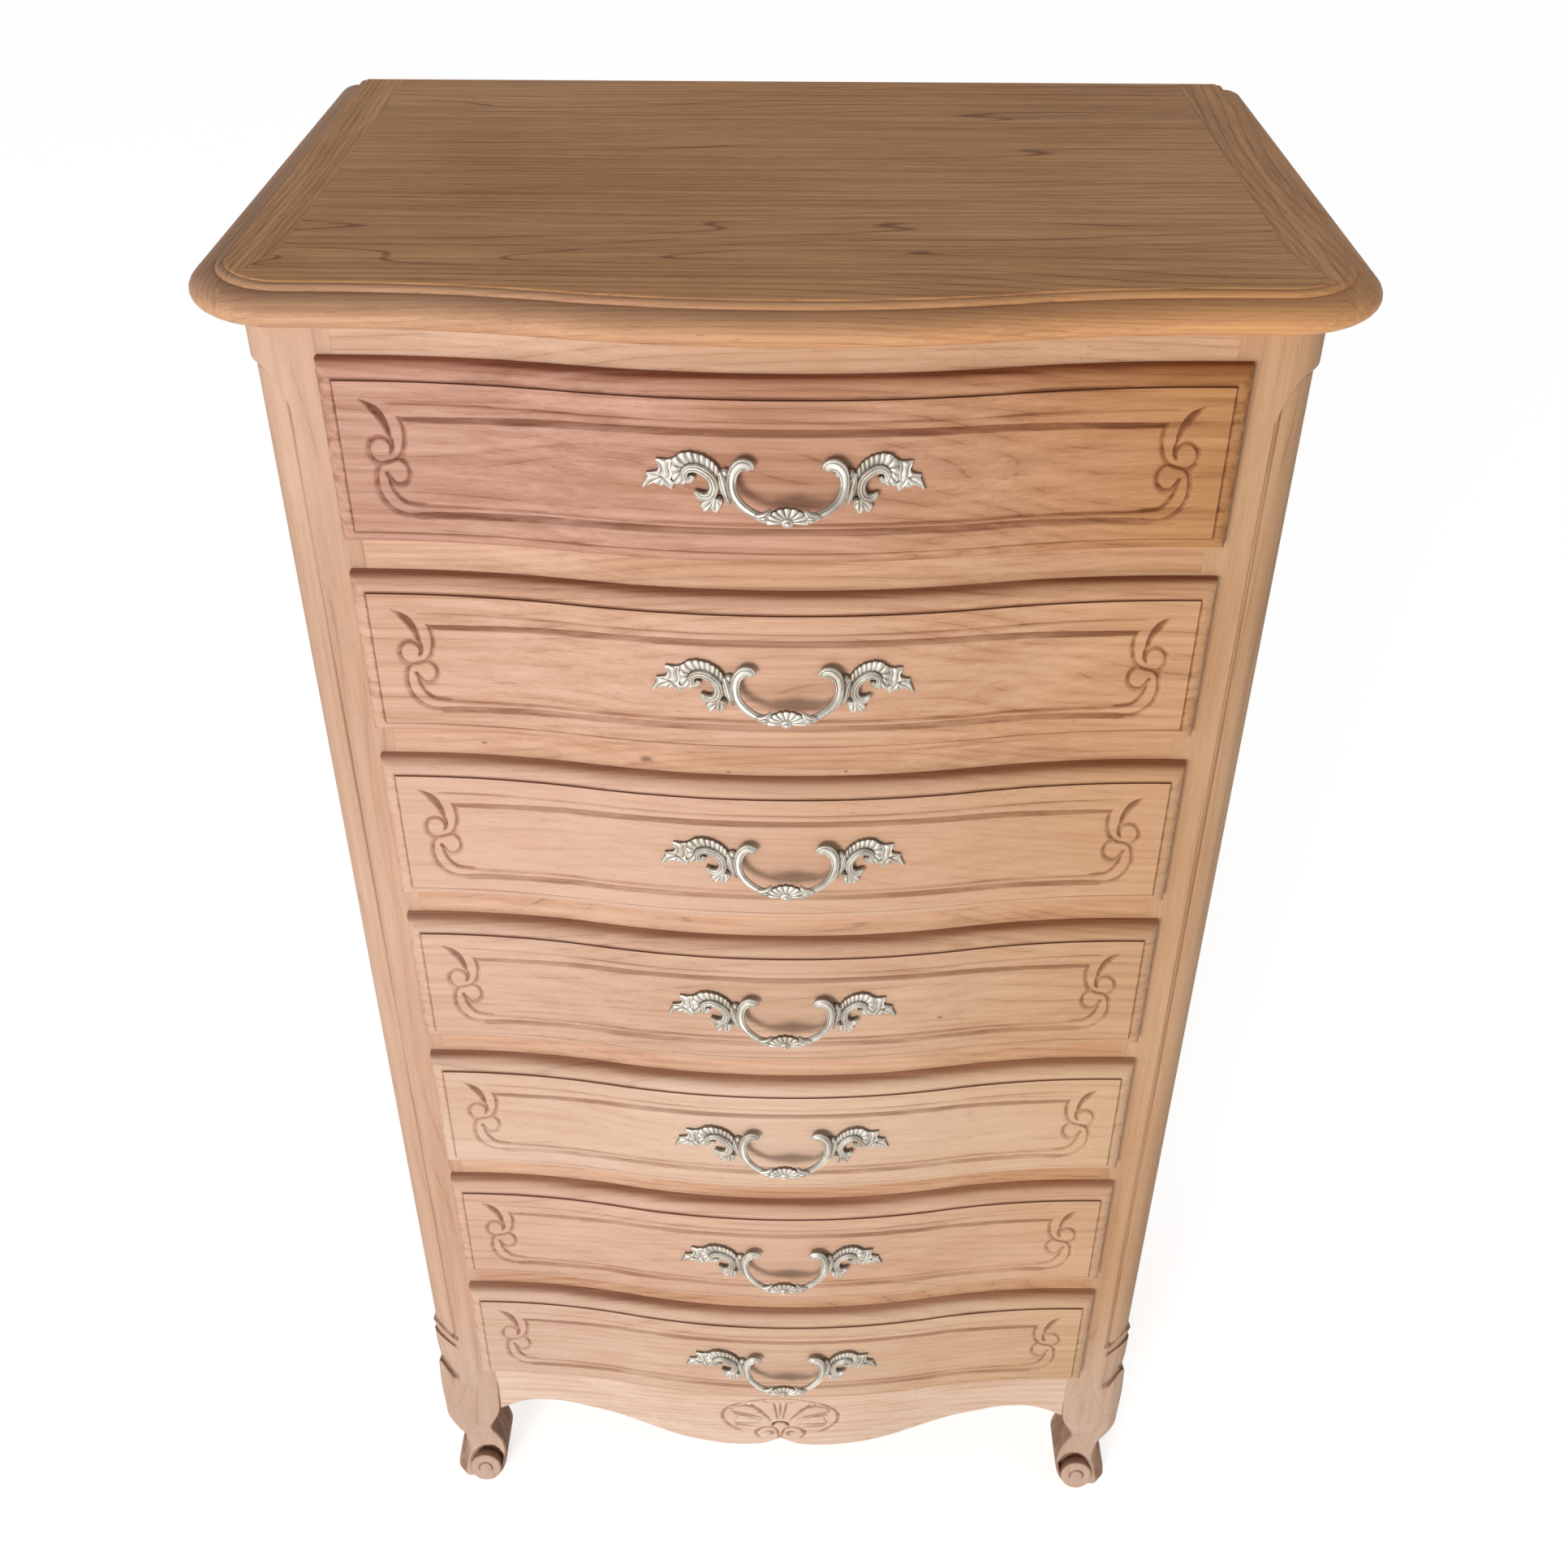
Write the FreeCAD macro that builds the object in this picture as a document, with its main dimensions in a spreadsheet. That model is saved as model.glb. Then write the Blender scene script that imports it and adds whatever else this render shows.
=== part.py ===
"""Semainier: a tall chest of seven bowed drawers on cabriole legs with scroll feet.

Millimetres, +Z up, +Y to the back. Pieces are modelled with y = 0 at the front face of the posts and
are placed so that the origin is at the middle of the footprint, on the floor.
"""
import FreeCAD
import Part
import math
import os
import Sketcher
from FreeCAD import Vector

DRAWERS = 7

SIZES = {
    # carcass
    "opening_width": 530.0,
    "post_width": 56.0,
    "post_depth": 50.0,
    "carcass_depth": 410.0,
    "lip_ground": 184.0,
    "frieze_reveal": 25.0,
    "bow_depth": 23.0,
    "bow_flat": 5.0,
    "rail_tail": 24.0,
    # top
    "top_thickness": 23.0,
    "top_overhang": 30.0,
    "top_corner": 65.0,
    "top_back": 5.0,
    "top_root": 4.0,
    "end_board": 22.0,
    "front_strip": 46.0,
    "mitre_run": 17.0,
    # drawer fronts
    "lip_height": 122.0,
    "lip_gap": 24.0,
    "lip_overlap": 8.0,
    "side_overlap": 10.0,
    "lip_proud": 14.0,
    "lip_clearance": 0.3,
    "lip_edge": 4.0,
    "thumb_width": 10.5,
    "thumb_step": 2.3,
    "block_clearance": 1.0,
    # drawer boxes
    "front_inner": 10.0,
    "side_lap": 7.0,
    "side_thickness": 12.0,
    "side_height": 92.0,
    "box_length": 375.0,
    "box_back": 12.0,
    "back_inset": 8.0,
    "back_drop": 6.0,
    "bottom_thickness": 5.0,
    "bottom_rise": 9.0,
    "groove_depth": 5.0,
    "running_clearance": 0.3,
    # runners and kickers
    "runner_bearing": 25.0,
    "runner_thickness": 18.0,
    "guide_height": 16.0,
    "kicker_width": 25.0,
    # side frames and back
    "rear_post": 45.0,
    "rear_foot": 32.0,
    "back_rail": 22.0,
    "upper_rail_height": 60.0,
    "lower_rail_height": 70.0,
    "side_scallop": 26.0,
    "panel_thickness": 9.0,
    "panel_inset": 8.0,
    "panel_tongue": 7.0,
    "back_thickness": 5.0,
    "back_rebate": 8.0,
    # apron
    "apron_drop": 90.0,
    "apron_rise": 36.0,
    "apron_notch": 12.0,
    # front posts and legs
    "shaft_corner": 26.0,
    "corner_width": 27.0,
    "corner_quirk": 2.5,
    "corner_run": 10.0,
    "stop_drop": 44.0,
    "stop_height": 28.0,
    "cuff_height": 40.0,
    "cuff_slope": 32.0,
    "knee_height": 165.0,
    "knee_corner": 18.0,
    "leg_edge": 3.0,
    "volute_radius": 16.0,
    "volute_height": 22.0,
    "volute_front": 13.0,
    "volute_length": 20.0,
    # handles
    "handle_half": 82.0,
    "handle_rise": 21.0,
    "spray_seat": 51.0,
    "spray_thickness": 5.0,
    "bail_half": 29.0,
    "bail_rod": 3.0,
    "bail_root": 3.0,
    "bail_lift": 8.0,
    "screw_half": 33.0,
    "screw_lift": 5.0,
    "screw_radius": 2.0,
    "screw_head": 4.5,
    "screw_head_height": 2.5,
    "screw_bite": 2.0,
    "hole_clearance": 0.2,
    # how far cutting shapes reach past what they cut
    "overrun": 5.0,
}

BAIL_TILT = 24.0

DERIVED = {
    "opening_half": "=opening_width / 2",
    "body_half": "=opening_half + post_width",
    "bow_half": "=opening_half - bow_flat",
    "bow_radius": "=((bow_half / 2) ^ 2 + (bow_depth / 2) ^ 2) / bow_depth",
    "lip_half": "=opening_half + side_overlap",
    "drawer_pitch": "=lip_height + lip_gap",
    "opening_height": "=lip_height - 2 * lip_overlap",
    "rail_height": "=drawer_pitch - opening_height",
    "lip_top": f"=lip_ground + {DRAWERS} * drawer_pitch - lip_gap",
    "top_underside": "=lip_top + frieze_reveal",
    "frieze_height": "=frieze_reveal + lip_overlap",
    "back_reach": "=carcass_depth + top_back",
    "inner_half": "=opening_half - block_clearance - side_thickness",
    "handle_reach": f"=bail_root + bail_half * sin({BAIL_TILT} deg) + bail_rod",
    "front_reach": "=bow_depth + max(top_overhang; lip_proud + handle_reach)",
    "face_y": "=(front_reach - back_reach) / 2",
    "side_length": "=carcass_depth - post_depth - rear_post",
    "panel_outer": "=body_half - panel_inset",
    "panel_inner": "=panel_outer - panel_thickness",
    "side_rail": "=body_half - panel_inner",
    "lower_rail_top": "=lip_ground + lip_overlap",
    "screw_length": "=front_inner + bow_depth + lip_proud + screw_bite",
    "block_half": "=opening_half - block_clearance",
    "block_proud": "=lip_proud / 2",
    "block_height": "=opening_height - 2 * block_clearance",
    "apron_height": "=apron_drop + lip_overlap",
    "side_foot": "=lip_overlap + running_clearance",
    "bottom_top": "=side_foot + bottom_rise + bottom_thickness",
    "box_end": "=front_inner + box_length",
}

# Edge moulding of the top, nose and bead with a fillet between: shares of the overhang and of the thickness.
MOULDING_SHARES = (
    (0.62, 0.00), (0.90, 0.14), (1.00, 0.40), (0.90, 0.62), (0.45, 0.76), (0.43, 0.83), (0.27, 0.95),
)

# Apron's lower edge, right half: shares of the bow's half width and of the apron's rise.
APRON_SHARES = ((0.045, 0.06), (0.17, 0.0), (0.33, 0.06), (0.50, 0.52), (0.62, 0.80), (0.78, 1.0), (1.0, 0.70))

# S-shaped stop at the top of the moulded corner: shares of the corner's diagonal and of the stop's height.
OGEE_SHARES = ((1.0, 0.0), (0.75, 0.12), (0.5, 0.5), (0.25, 0.88), (0.0, 1.0))

# Leg sections from knee to floor: height as a share of the knee's height, inner and outer side as shares
# of the post's width, front and back as shares of its depth, and the corner's share of the knee corner.
LEG_SHARES = (
    (1.00, 0.00, 1.00, 0.00, 1.00, 1.00),
    (0.84, 0.00, 1.05, -0.06, 1.00, 1.00),
    (0.67, 0.02, 1.02, -0.05, 0.97, 1.00),
    (0.50, 0.17, 0.82, 0.03, 0.92, 0.75),
    (0.36, 0.21, 0.66, 0.12, 0.87, 0.55),
    (0.26, 0.16, 0.66, 0.14, 0.84, 0.55),
    (0.16, 0.08, 0.82, 0.04, 0.82, 0.70),
    (0.06, 0.07, 0.86, -0.04, 0.80, 0.75),
    (0.00, 0.16, 0.76, 0.04, 0.76, 0.60),
)

# One leaf spray of the handle, right-hand side, from the tip over the hump and the horn to the bail's root
# and back along the lower leaf and the open scroll: shares of the handle's half length and of its rise.
SPRAY_SHARES = (
    (1.00, -0.12), (0.90, 0.78), (0.81, 0.80), (0.69, 1.00), (0.53, 0.84), (0.42, 0.52), (0.37, 0.70), (0.31, 0.77),
    (0.24, 0.49), (0.31, 0.40), (0.345, 0.11), (0.30, -0.50), (0.39, -0.65), (0.485, -0.87), (0.567, -0.82),
    (0.61, -0.33), (0.53, -0.18), (0.51, 0.14), (0.60, 0.38), (0.656, 0.02), (0.74, 0.02), (0.79, -0.17),
    (0.86, -0.03),
)
# Repeated and small forms are kept to few faces.
ROD_SIDES = 6
BAIL_SIDES = 6
BAIL_STEPS = 8
LEG_STEPS = 14
CORNER_STEPS = 4

doc = FreeCAD.newDocument("semainier")
sheet = doc.addObject("Spreadsheet::Sheet", "Sizes")
for row, (name, content) in enumerate({**SIZES, **DERIVED}.items(), start=1):
    sheet.set(f"A{row}", name)
    sheet.set(f"B{row}", str(content))
    sheet.setAlias(f"B{row}", name)
doc.recompute()
size = {name: float(sheet.get(name)) for name in {**SIZES, **DERIVED}}


def bound(item, **formulas):
    """Binds properties of an object to the sheet. Every word in a formula names a cell."""
    for prop, formula in formulas.items():
        words = [f"Sizes.{word}" if word in size else word for word in formula.split()]
        item.setExpression(prop.replace("__", "."), " ".join(words))
    return item


def board(name, length, width, height, x="0", y="0", z="0"):
    """A straight board: a box with bound sizes and place."""
    item = doc.addObject("Part::Box", name)
    bound(item, Length=length, Width=width, Height=height)
    return bound(item, Placement__Base__x=x, Placement__Base__y=y, Placement__Base__z=z)


def rod(name, radius, length, x, y, z):
    """A slim rod with a few flat sides that runs forwards, along -Y, from its place."""
    item = doc.addObject("Part::Prism", name)
    item.Polygon = ROD_SIDES
    bound(item, Circumradius=radius, Height=length)
    item.Placement.Rotation = FreeCAD.Rotation(Vector(1, 0, 0), 90)
    return bound(item, Placement__Base__x=x, Placement__Base__y=y, Placement__Base__z=z)


def combined(kind, name, base, *others):
    """A boolean of earlier objects: kind is Cut, Common or MultiFuse."""
    if kind == "MultiFuse":
        item = doc.addObject("Part::MultiFuse", name)
        item.Shapes = [base, *others]
        return item
    for count, other in enumerate(others, start=1):
        item = doc.addObject(f"Part::{kind}", f"{name}_{count}")
        item.Base = base
        item.Tool = other
        base = item
    return base


def mirrored(name, source):
    """The left-hand twin of a right-hand piece."""
    item = doc.addObject("Part::Mirroring", name)
    item.Source = source
    item.Normal = Vector(1, 0, 0)
    return item


def raised(name, source, lift):
    """A copy of a piece at another height."""
    item = doc.addObject("Part::Compound", name)
    item.Links = [source]
    return bound(item, Placement__Base__z=lift)


def new_sketch(body, role, name, offset="0"):
    """A sketch on one of the body's own origin planes, moved along the plane's normal."""
    sketch = body.newObject("Sketcher::SketchObject", name)
    plane = next(feature for feature in body.Origin.OriginFeatures if feature.Role == role)
    sketch.AttachmentSupport = [(plane, "")]
    sketch.MapMode = "FlatFace"
    return bound(sketch, AttachmentOffset__Base__z=offset)


def sketch_arc(first, middle, last):
    """A counter-clockwise arc through three points, and whether it runs from last to first."""
    circle = Part.Circle(Vector(*first, 0), Vector(*middle, 0), Vector(*last, 0))
    centre = circle.Center
    turn = (middle[0] - first[0]) * (last[1] - first[1]) - (middle[1] - first[1]) * (last[0] - first[0])
    ends = (first, last) if turn > 0 else (last, first)
    start, stop = (math.atan2(end[1] - centre.y, end[0] - centre.x) for end in ends)
    if stop < start:
        stop += 2 * math.pi
    upright = Part.Circle(centre, Vector(0, 0, 1), circle.Radius)
    return Part.ArcOfCircle(upright, start, stop), turn < 0


def trace(sketch, runs, closed=True):
    """Draws a chain of lines (two points) and arcs (three points), joined end to end."""
    ends = []
    for run in runs:
        flipped = False
        if len(run) == 2:
            curve = Part.LineSegment(Vector(*run[0], 0), Vector(*run[1], 0))
        else:
            curve, flipped = sketch_arc(*run)
        ends.append((sketch.addGeometry(curve), 2 if flipped else 1, 1 if flipped else 2))
    pairs = list(zip(ends, ends[1:]))
    if closed:
        pairs.append((ends[-1], ends[0]))
    for (geo, _, stop), (following, start, _) in pairs:
        sketch.addConstraint(Sketcher.Constraint("Coincident", geo, stop, following, start))
    return ends


def pin(sketch, end, x, y):
    """Ties the start of a drawn run to two formulas of the sheet."""
    geo, start, _ = end
    point = sketch.getPoint(geo, start)
    for kind, value, formula in (("DistanceX", point.x, x), ("DistanceY", point.y, y)):
        index = sketch.addConstraint(Sketcher.Constraint(kind, -1, 1, geo, start, value))
        bound(sketch, **{f"Constraints[{index}]": formula})


def round_to(sketch, end, radius):
    """Ties the radius of a drawn arc to a formula of the sheet."""
    arc = sketch.Geometry[end[0]]
    index = sketch.addConstraint(Sketcher.Constraint("Radius", end[0], arc.Radius))
    bound(sketch, **{f"Constraints[{index}]": radius})


def pad(body, sketch, length, name, **settings):
    """Pads a sketch by a bound length."""
    feature = body.newObject("PartDesign::Pad", name)
    feature.Profile = sketch
    for prop, value in settings.items():
        setattr(feature, prop, value)
    return bound(feature, Length=length)


def pocket_through(body, sketch, name, **settings):
    """Cuts a sketch through the whole body and makes sure that the cut took something away."""
    doc.recompute()
    before = body.Shape.Volume
    feature = body.newObject("PartDesign::Pocket", name)
    feature.Profile = sketch
    feature.Type = "ThroughAll"
    for prop, value in settings.items():
        setattr(feature, prop, value)
    doc.recompute()
    if body.Shape.Volume >= before:
        raise RuntimeError(f"{name} cuts nothing")
    return feature


def pipe(body, profile, path, name):
    """Sweeps a profile along a flat path."""
    feature = body.newObject("PartDesign::AdditivePipe", name)
    feature.Profile = profile
    feature.Spine = path
    return feature


def bow_runs(half, proud):
    """The bowed front line, left to right: flat, hollow arc, full arc, hollow arc, flat.

    All bowed faces share the arcs' centres, so a face that stands proud keeps an even distance.
    """
    reach = size["bow_half"]
    radius = size["bow_radius"]
    full_centre = radius - size["bow_depth"]
    lean = math.asin(reach / 2 / radius)

    def full(angle):
        return ((radius + proud) * math.sin(angle), full_centre - (radius + proud) * math.cos(angle))

    def hollow(side, angle):
        return (side * (reach - (radius - proud) * math.sin(angle)), (radius - proud) * math.cos(angle) - radius)

    return [
        ((-half, -proud), (-reach, -proud)),
        (hollow(-1, 0), hollow(-1, lean / 2), full(-lean)),
        (full(-lean), full(0), full(lean)),
        (full(lean), hollow(1, lean / 2), hollow(1, 0)),
        ((reach, -proud), (half, -proud)),
    ]


def bowed_board(name, half, tail, height, lift="0", proud="0", body=None):
    """A board with the bowed front and a flat back, padded upwards. Sizes are names of the sheet."""
    body = body or doc.addObject("PartDesign::Body", name)
    sketch = new_sketch(body, "XY_Plane", f"{name}_plan", lift)
    runs = bow_runs(size[half], size.get(proud, 0))
    right = (size[half], size[tail])
    left = (-size[half], size[tail])
    runs += [(runs[-1][-1], right), (right, left), (left, runs[0][0])]
    ends = trace(sketch, runs)
    pin(sketch, ends[0], f"- {half}", f"- {proud}")
    pin(sketch, ends[5], half, f"- {proud}")
    pin(sketch, ends[6], half, tail)
    pin(sketch, ends[7], f"- {half}", tail)
    round_to(sketch, ends[1], f"bow_radius - {proud}")
    round_to(sketch, ends[2], f"bow_radius + {proud}")
    round_to(sketch, ends[3], f"bow_radius - {proud}")
    pad(body, sketch, height, f"{name}_pad")
    return body


def scaled(shares, *lengths):
    """Points from shares, each column times its length."""
    return [tuple(share * length for share, length in zip(point, lengths)) for point in shares]


def prism(name, points, foot, height):
    """An upright prism over a closed outline of points."""
    corners = [Vector(x, y, foot) for x, y in points]
    item = doc.addObject("Part::Feature", name)
    item.Shape = Part.Face(Part.makePolygon(corners + corners[:1])).extrude(Vector(0, 0, height))
    return item


def drawer_front():
    """Bowed, lipped front: moulded lip swept along the bow, ends cut to match, block inside the opening."""
    body = doc.addObject("PartDesign::Body", "lip_front")
    path = new_sketch(body, "XY_Plane", "lip_path")
    ends = trace(path, bow_runs(size["lip_half"], 0), closed=False)
    pin(path, ends[0], "- lip_half", "0")
    round_to(path, ends[2], "bow_radius")

    field = -size["lip_proud"]
    ledge = field + size["thumb_step"]
    edge = -size["lip_edge"]
    back = -size["lip_clearance"]
    height = size["lip_height"]
    inset = size["thumb_width"]
    profile = new_sketch(body, "YZ_Plane", "lip_section", "- lip_half")
    ends = trace(profile, [
        ((back, 0), (edge, 0)),
        ((edge, 0), (ledge, inset)),
        ((ledge, inset), (field, inset)),
        ((field, inset), (field, height - inset)),
        ((field, height - inset), (ledge, height - inset)),
        ((ledge, height - inset), (edge, height)),
        ((edge, height), (back, height)),
        ((back, height), (back, 0)),
    ])
    pin(profile, ends[0], "- lip_clearance", "0")
    pin(profile, ends[3], "- lip_proud", "thumb_width")
    pin(profile, ends[4], "- lip_proud", "lip_height - thumb_width")
    pin(profile, ends[7], "- lip_clearance", "lip_height")
    pipe(body, profile, path, "lip_sweep")

    trim = new_sketch(body, "XY_Plane", "lip_ends")
    side = size["lip_half"]
    past = size["overrun"]
    for hand in (1, -1):
        outline = [
            ((side - inset, field - past), (side - inset, ledge)),
            ((side - inset, ledge), (side, edge)),
            ((side, edge), (side + past, edge)),
            ((side + past, edge), (side + past, field - past)),
            ((side + past, field - past), (side - inset, field - past)),
        ]
        trace(trim, [[(hand * x, y) for x, y in run] for run in outline])
    pocket_through(body, trim, "lip_end_cut", Reversed=True)
    bowed_board("lip_block", "block_half", "front_inner", "block_height", "lip_overlap + block_clearance",
                "block_proud", body)
    return body


def drawer_box():
    """Sides, back and bottom of one drawer, with the bottom let into grooves."""
    bottom = board("box_bottom", "2 * inner_half + 2 * groove_depth",
                   "groove_depth + box_length - back_inset", "bottom_thickness",
                   "- inner_half - groove_depth", "front_inner - groove_depth", "side_foot + bottom_rise")
    plank = board("box_side_plank", "side_thickness", "side_lap + box_length", "side_height",
                  "inner_half", "front_inner - side_lap", "side_foot")
    right = combined("Cut", "box_side_right", plank, bottom)
    left = mirrored("box_side_left", right)
    back = board("box_back_board", "2 * inner_half", "box_back",
                 "side_foot + side_height - bottom_top - back_drop",
                 "- inner_half", "box_end - back_inset - box_back", "bottom_top")
    return right, left, back, bottom


def handle():
    """One-piece cast pull: two flat leaf sprays laid against the bowed front, and a bail that stands out."""
    middle = size["lip_height"] / 2
    radius = size["bow_radius"] + size["lip_proud"]
    seat = size["spray_seat"]
    lean = math.asin(seat / radius)
    body = doc.addObject("PartDesign::Body", "spray_right")
    sketch = new_sketch(body, "XZ_Plane", "spray_outline")
    points = [(x - seat, middle + z) for x, z in scaled(SPRAY_SHARES, size["handle_half"], size["handle_rise"])]
    trace(sketch, list(zip(points, points[1:] + points[:1])))
    pad(body, sketch, "spray_thickness", "spray_pad")
    foot = Vector(seat, size["bow_radius"] - size["bow_depth"] - radius * math.cos(lean), 0)
    body.Placement = FreeCAD.Placement(foot, FreeCAD.Rotation(Vector(0, 0, 1), math.degrees(lean)))

    root = Vector(0, -size["bow_depth"] - size["lip_proud"] - size["bail_root"], middle + size["bail_lift"])
    tilt = math.radians(BAIL_TILT)
    across = Vector(1, 0, 0)
    down = Vector(0, -math.sin(tilt), -math.cos(tilt))
    out = across.cross(down)
    rings = []
    for step in range(BAIL_STEPS + 1):
        turn = math.pi * step / BAIL_STEPS
        radial = across * math.cos(turn) + down * math.sin(turn)
        centre = root + radial * size["bail_half"]
        angles = [2 * math.pi * (side + 0.5) / BAIL_SIDES for side in range(BAIL_SIDES)]
        ring = [centre + (radial * math.cos(angle) + out * math.sin(angle)) * size["bail_rod"] for angle in angles]
        rings.append(Part.makePolygon(ring + ring[:1]))
    bail = doc.addObject("Part::Feature", "bail")
    bail.Shape = Part.makeLoft(rings, True, True)
    return combined("MultiFuse", "handle_casting", body, mirrored("spray_left", body), bail)


def screws():
    """Two screws that hold the handle from inside the drawer, and the holes they need."""
    shanks, holes = [], []
    for hand, sign in (("right", ""), ("left", "-")):
        place = (f"{sign} screw_half", "front_inner", "lip_height / 2 + screw_lift")
        shank = rod(f"shank_{hand}", "screw_radius", "screw_length", *place)
        head = rod(f"head_{hand}", "screw_head", "screw_head_height", place[0],
                   "front_inner + screw_head_height", place[2])
        shanks.append(combined("MultiFuse", f"screw_{hand}", shank, head))
        holes.append(rod(f"hole_{hand}", "screw_radius + hole_clearance",
                         "screw_length + hole_clearance", *place))
    return shanks, holes


def top():
    """Top with a moulded edge on three sides, split into field, front strip and mitred end boards."""
    body = doc.addObject("PartDesign::Body", "top_blank")
    side = size["body_half"]
    back = size["back_reach"]
    corner = size["top_corner"] - size["top_overhang"]
    turn = corner * (1 - math.sqrt(0.5))
    front = bow_runs(side - corner, 0)
    edge = [((-side, back), (-side, corner)), ((-side, corner), (turn - side, turn), (corner - side, 0)), *front,
            ((side - corner, 0), (side - turn, turn), (side, corner)), ((side, corner), (side, back))]
    plan = new_sketch(body, "XY_Plane", "top_plan", "top_underside")
    ends = trace(plan, edge + [((side, back), (-side, back))])
    pin(plan, ends[0], "- body_half", "back_reach")
    pin(plan, ends[-1], "body_half", "back_reach")
    pad(body, plan, "top_thickness", "top_pad")

    path = new_sketch(body, "XY_Plane", "top_path", "top_underside")
    ends = trace(path, edge, closed=False)
    pin(path, ends[0], "- body_half", "back_reach")

    thick = size["top_thickness"]
    root = -size["top_root"]
    edge_points = scaled(MOULDING_SHARES, size["top_overhang"], thick)
    corners = [(root, 0), *edge_points, (edge_points[-1][0], thick), (root, thick)]
    outline = zip(corners, corners[1:] + corners[:1])
    profile = new_sketch(body, "XZ_Plane", "top_section", "- back_reach")
    lift = size["top_underside"]
    trace(profile, [[(-side - out, lift + up) for out, up in run] for run in outline])
    pipe(body, profile, path, "top_moulding")

    seam = side - size["end_board"]
    strip = size["front_strip"]
    past = size["overrun"]
    reach = size["front_reach"] + past
    lean = size["mitre_run"] * (1 + reach / strip)
    far = side + size["top_overhang"] + past
    behind = back + past
    low = lift - past
    tall = thick + 2 * past
    field = prism("field_zone", [(-seam, strip), (seam, strip), (seam, behind), (-seam, behind)], low, tall)
    front_zone = prism("front_zone", [(-seam, strip), (-seam - lean, -reach), (seam + lean, -reach), (seam, strip)],
                       low, tall)
    end_zone = prism("end_zone", [(seam, strip), (seam + lean, -reach), (far, -reach), (far, behind), (seam, behind)],
                     low, tall)
    right = combined("Common", "end_right", body, end_zone)
    return (combined("Common", "field", body, field), combined("Common", "front", body, front_zone),
            mirrored("end_left", right), right)


def apron():
    """Bowed apron whose lower edge is cut to a scalloped line with a small notch at the middle."""
    body = bowed_board("apron_board", "opening_half", "rail_tail", "apron_height", "lip_ground - apron_drop")
    reach = size["opening_half"]
    foot = size["lip_ground"] - size["apron_drop"]
    points = [(x, foot + z) for x, z in scaled(APRON_SHARES, reach, size["apron_rise"])]
    notch = (0, foot + size["apron_notch"])
    half = [(points[0], points[1], points[2]), (points[2], points[3]), (points[3], points[4], points[5]),
            (points[5], points[6])]
    below = foot - size["overrun"]
    runs = [(notch, points[0])] + half
    runs += [(points[6], (reach, below)), ((reach, below), (-reach, below))]
    runs += [((-reach, below), (-points[6][0], points[6][1]))]
    runs += [[(-x, z) for x, z in run[::-1]] for run in half[::-1]]
    runs += [((-points[0][0], points[0][1]), notch)]
    sketch = new_sketch(body, "XZ_Plane", "apron_edge")
    trace(sketch, runs)
    pocket_through(body, sketch, "apron_cut", Midplane=True)
    return body


def leg_section(height, inner, outer, front, back, corner):
    """A closed section of the leg with a large outer front corner and eased other corners."""
    edge = size["leg_edge"]
    left = size["opening_half"] + inner
    right = size["opening_half"] + outer
    turns = [math.pi / 2 * step / CORNER_STEPS for step in range(CORNER_STEPS + 1)]
    outline = [(left + edge, front)]
    outline += [(right - corner * (1 - math.sin(turn)), front + corner * (1 - math.cos(turn))) for turn in turns]
    outline += [(right, back - edge), (right - edge, back), (left + edge, back), (left, back - edge),
                (left, front + edge)]
    points = [Vector(x, y, height) for x, y in outline]
    return Part.makePolygon(points + points[:1])


def smooth_rows(rows, steps):
    """Rows of numbers on a smooth curve through the given rows, evenly spaced along them."""
    last = len(rows) - 1
    result = []
    for step in range(steps + 1):
        place = last * step / steps
        index = min(int(place), last - 1)
        part = place - index
        near = [rows[min(max(index + shift, 0), last)] for shift in (-1, 0, 1, 2)]
        weights = (
            (-part + 2 * part ** 2 - part ** 3) / 2,
            1 - (5 * part ** 2 - 3 * part ** 3) / 2,
            (part + 4 * part ** 2 - 3 * part ** 3) / 2,
            (part ** 3 - part ** 2) / 2,
        )
        result.append([sum(weight * value for weight, value in zip(weights, column)) for column in zip(*near)])
    return result


def corner_zone(points, foot, height):
    """Upright cutter over an outline of lines and arcs in plan."""
    edges = [(Part.LineSegment if len(run) == 2 else Part.Arc)(*[Vector(*point, foot) for point in run]).toShape()
             for run in points]
    return Part.Face(Part.Wire(edges)).extrude(Vector(0, 0, height))


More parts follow.
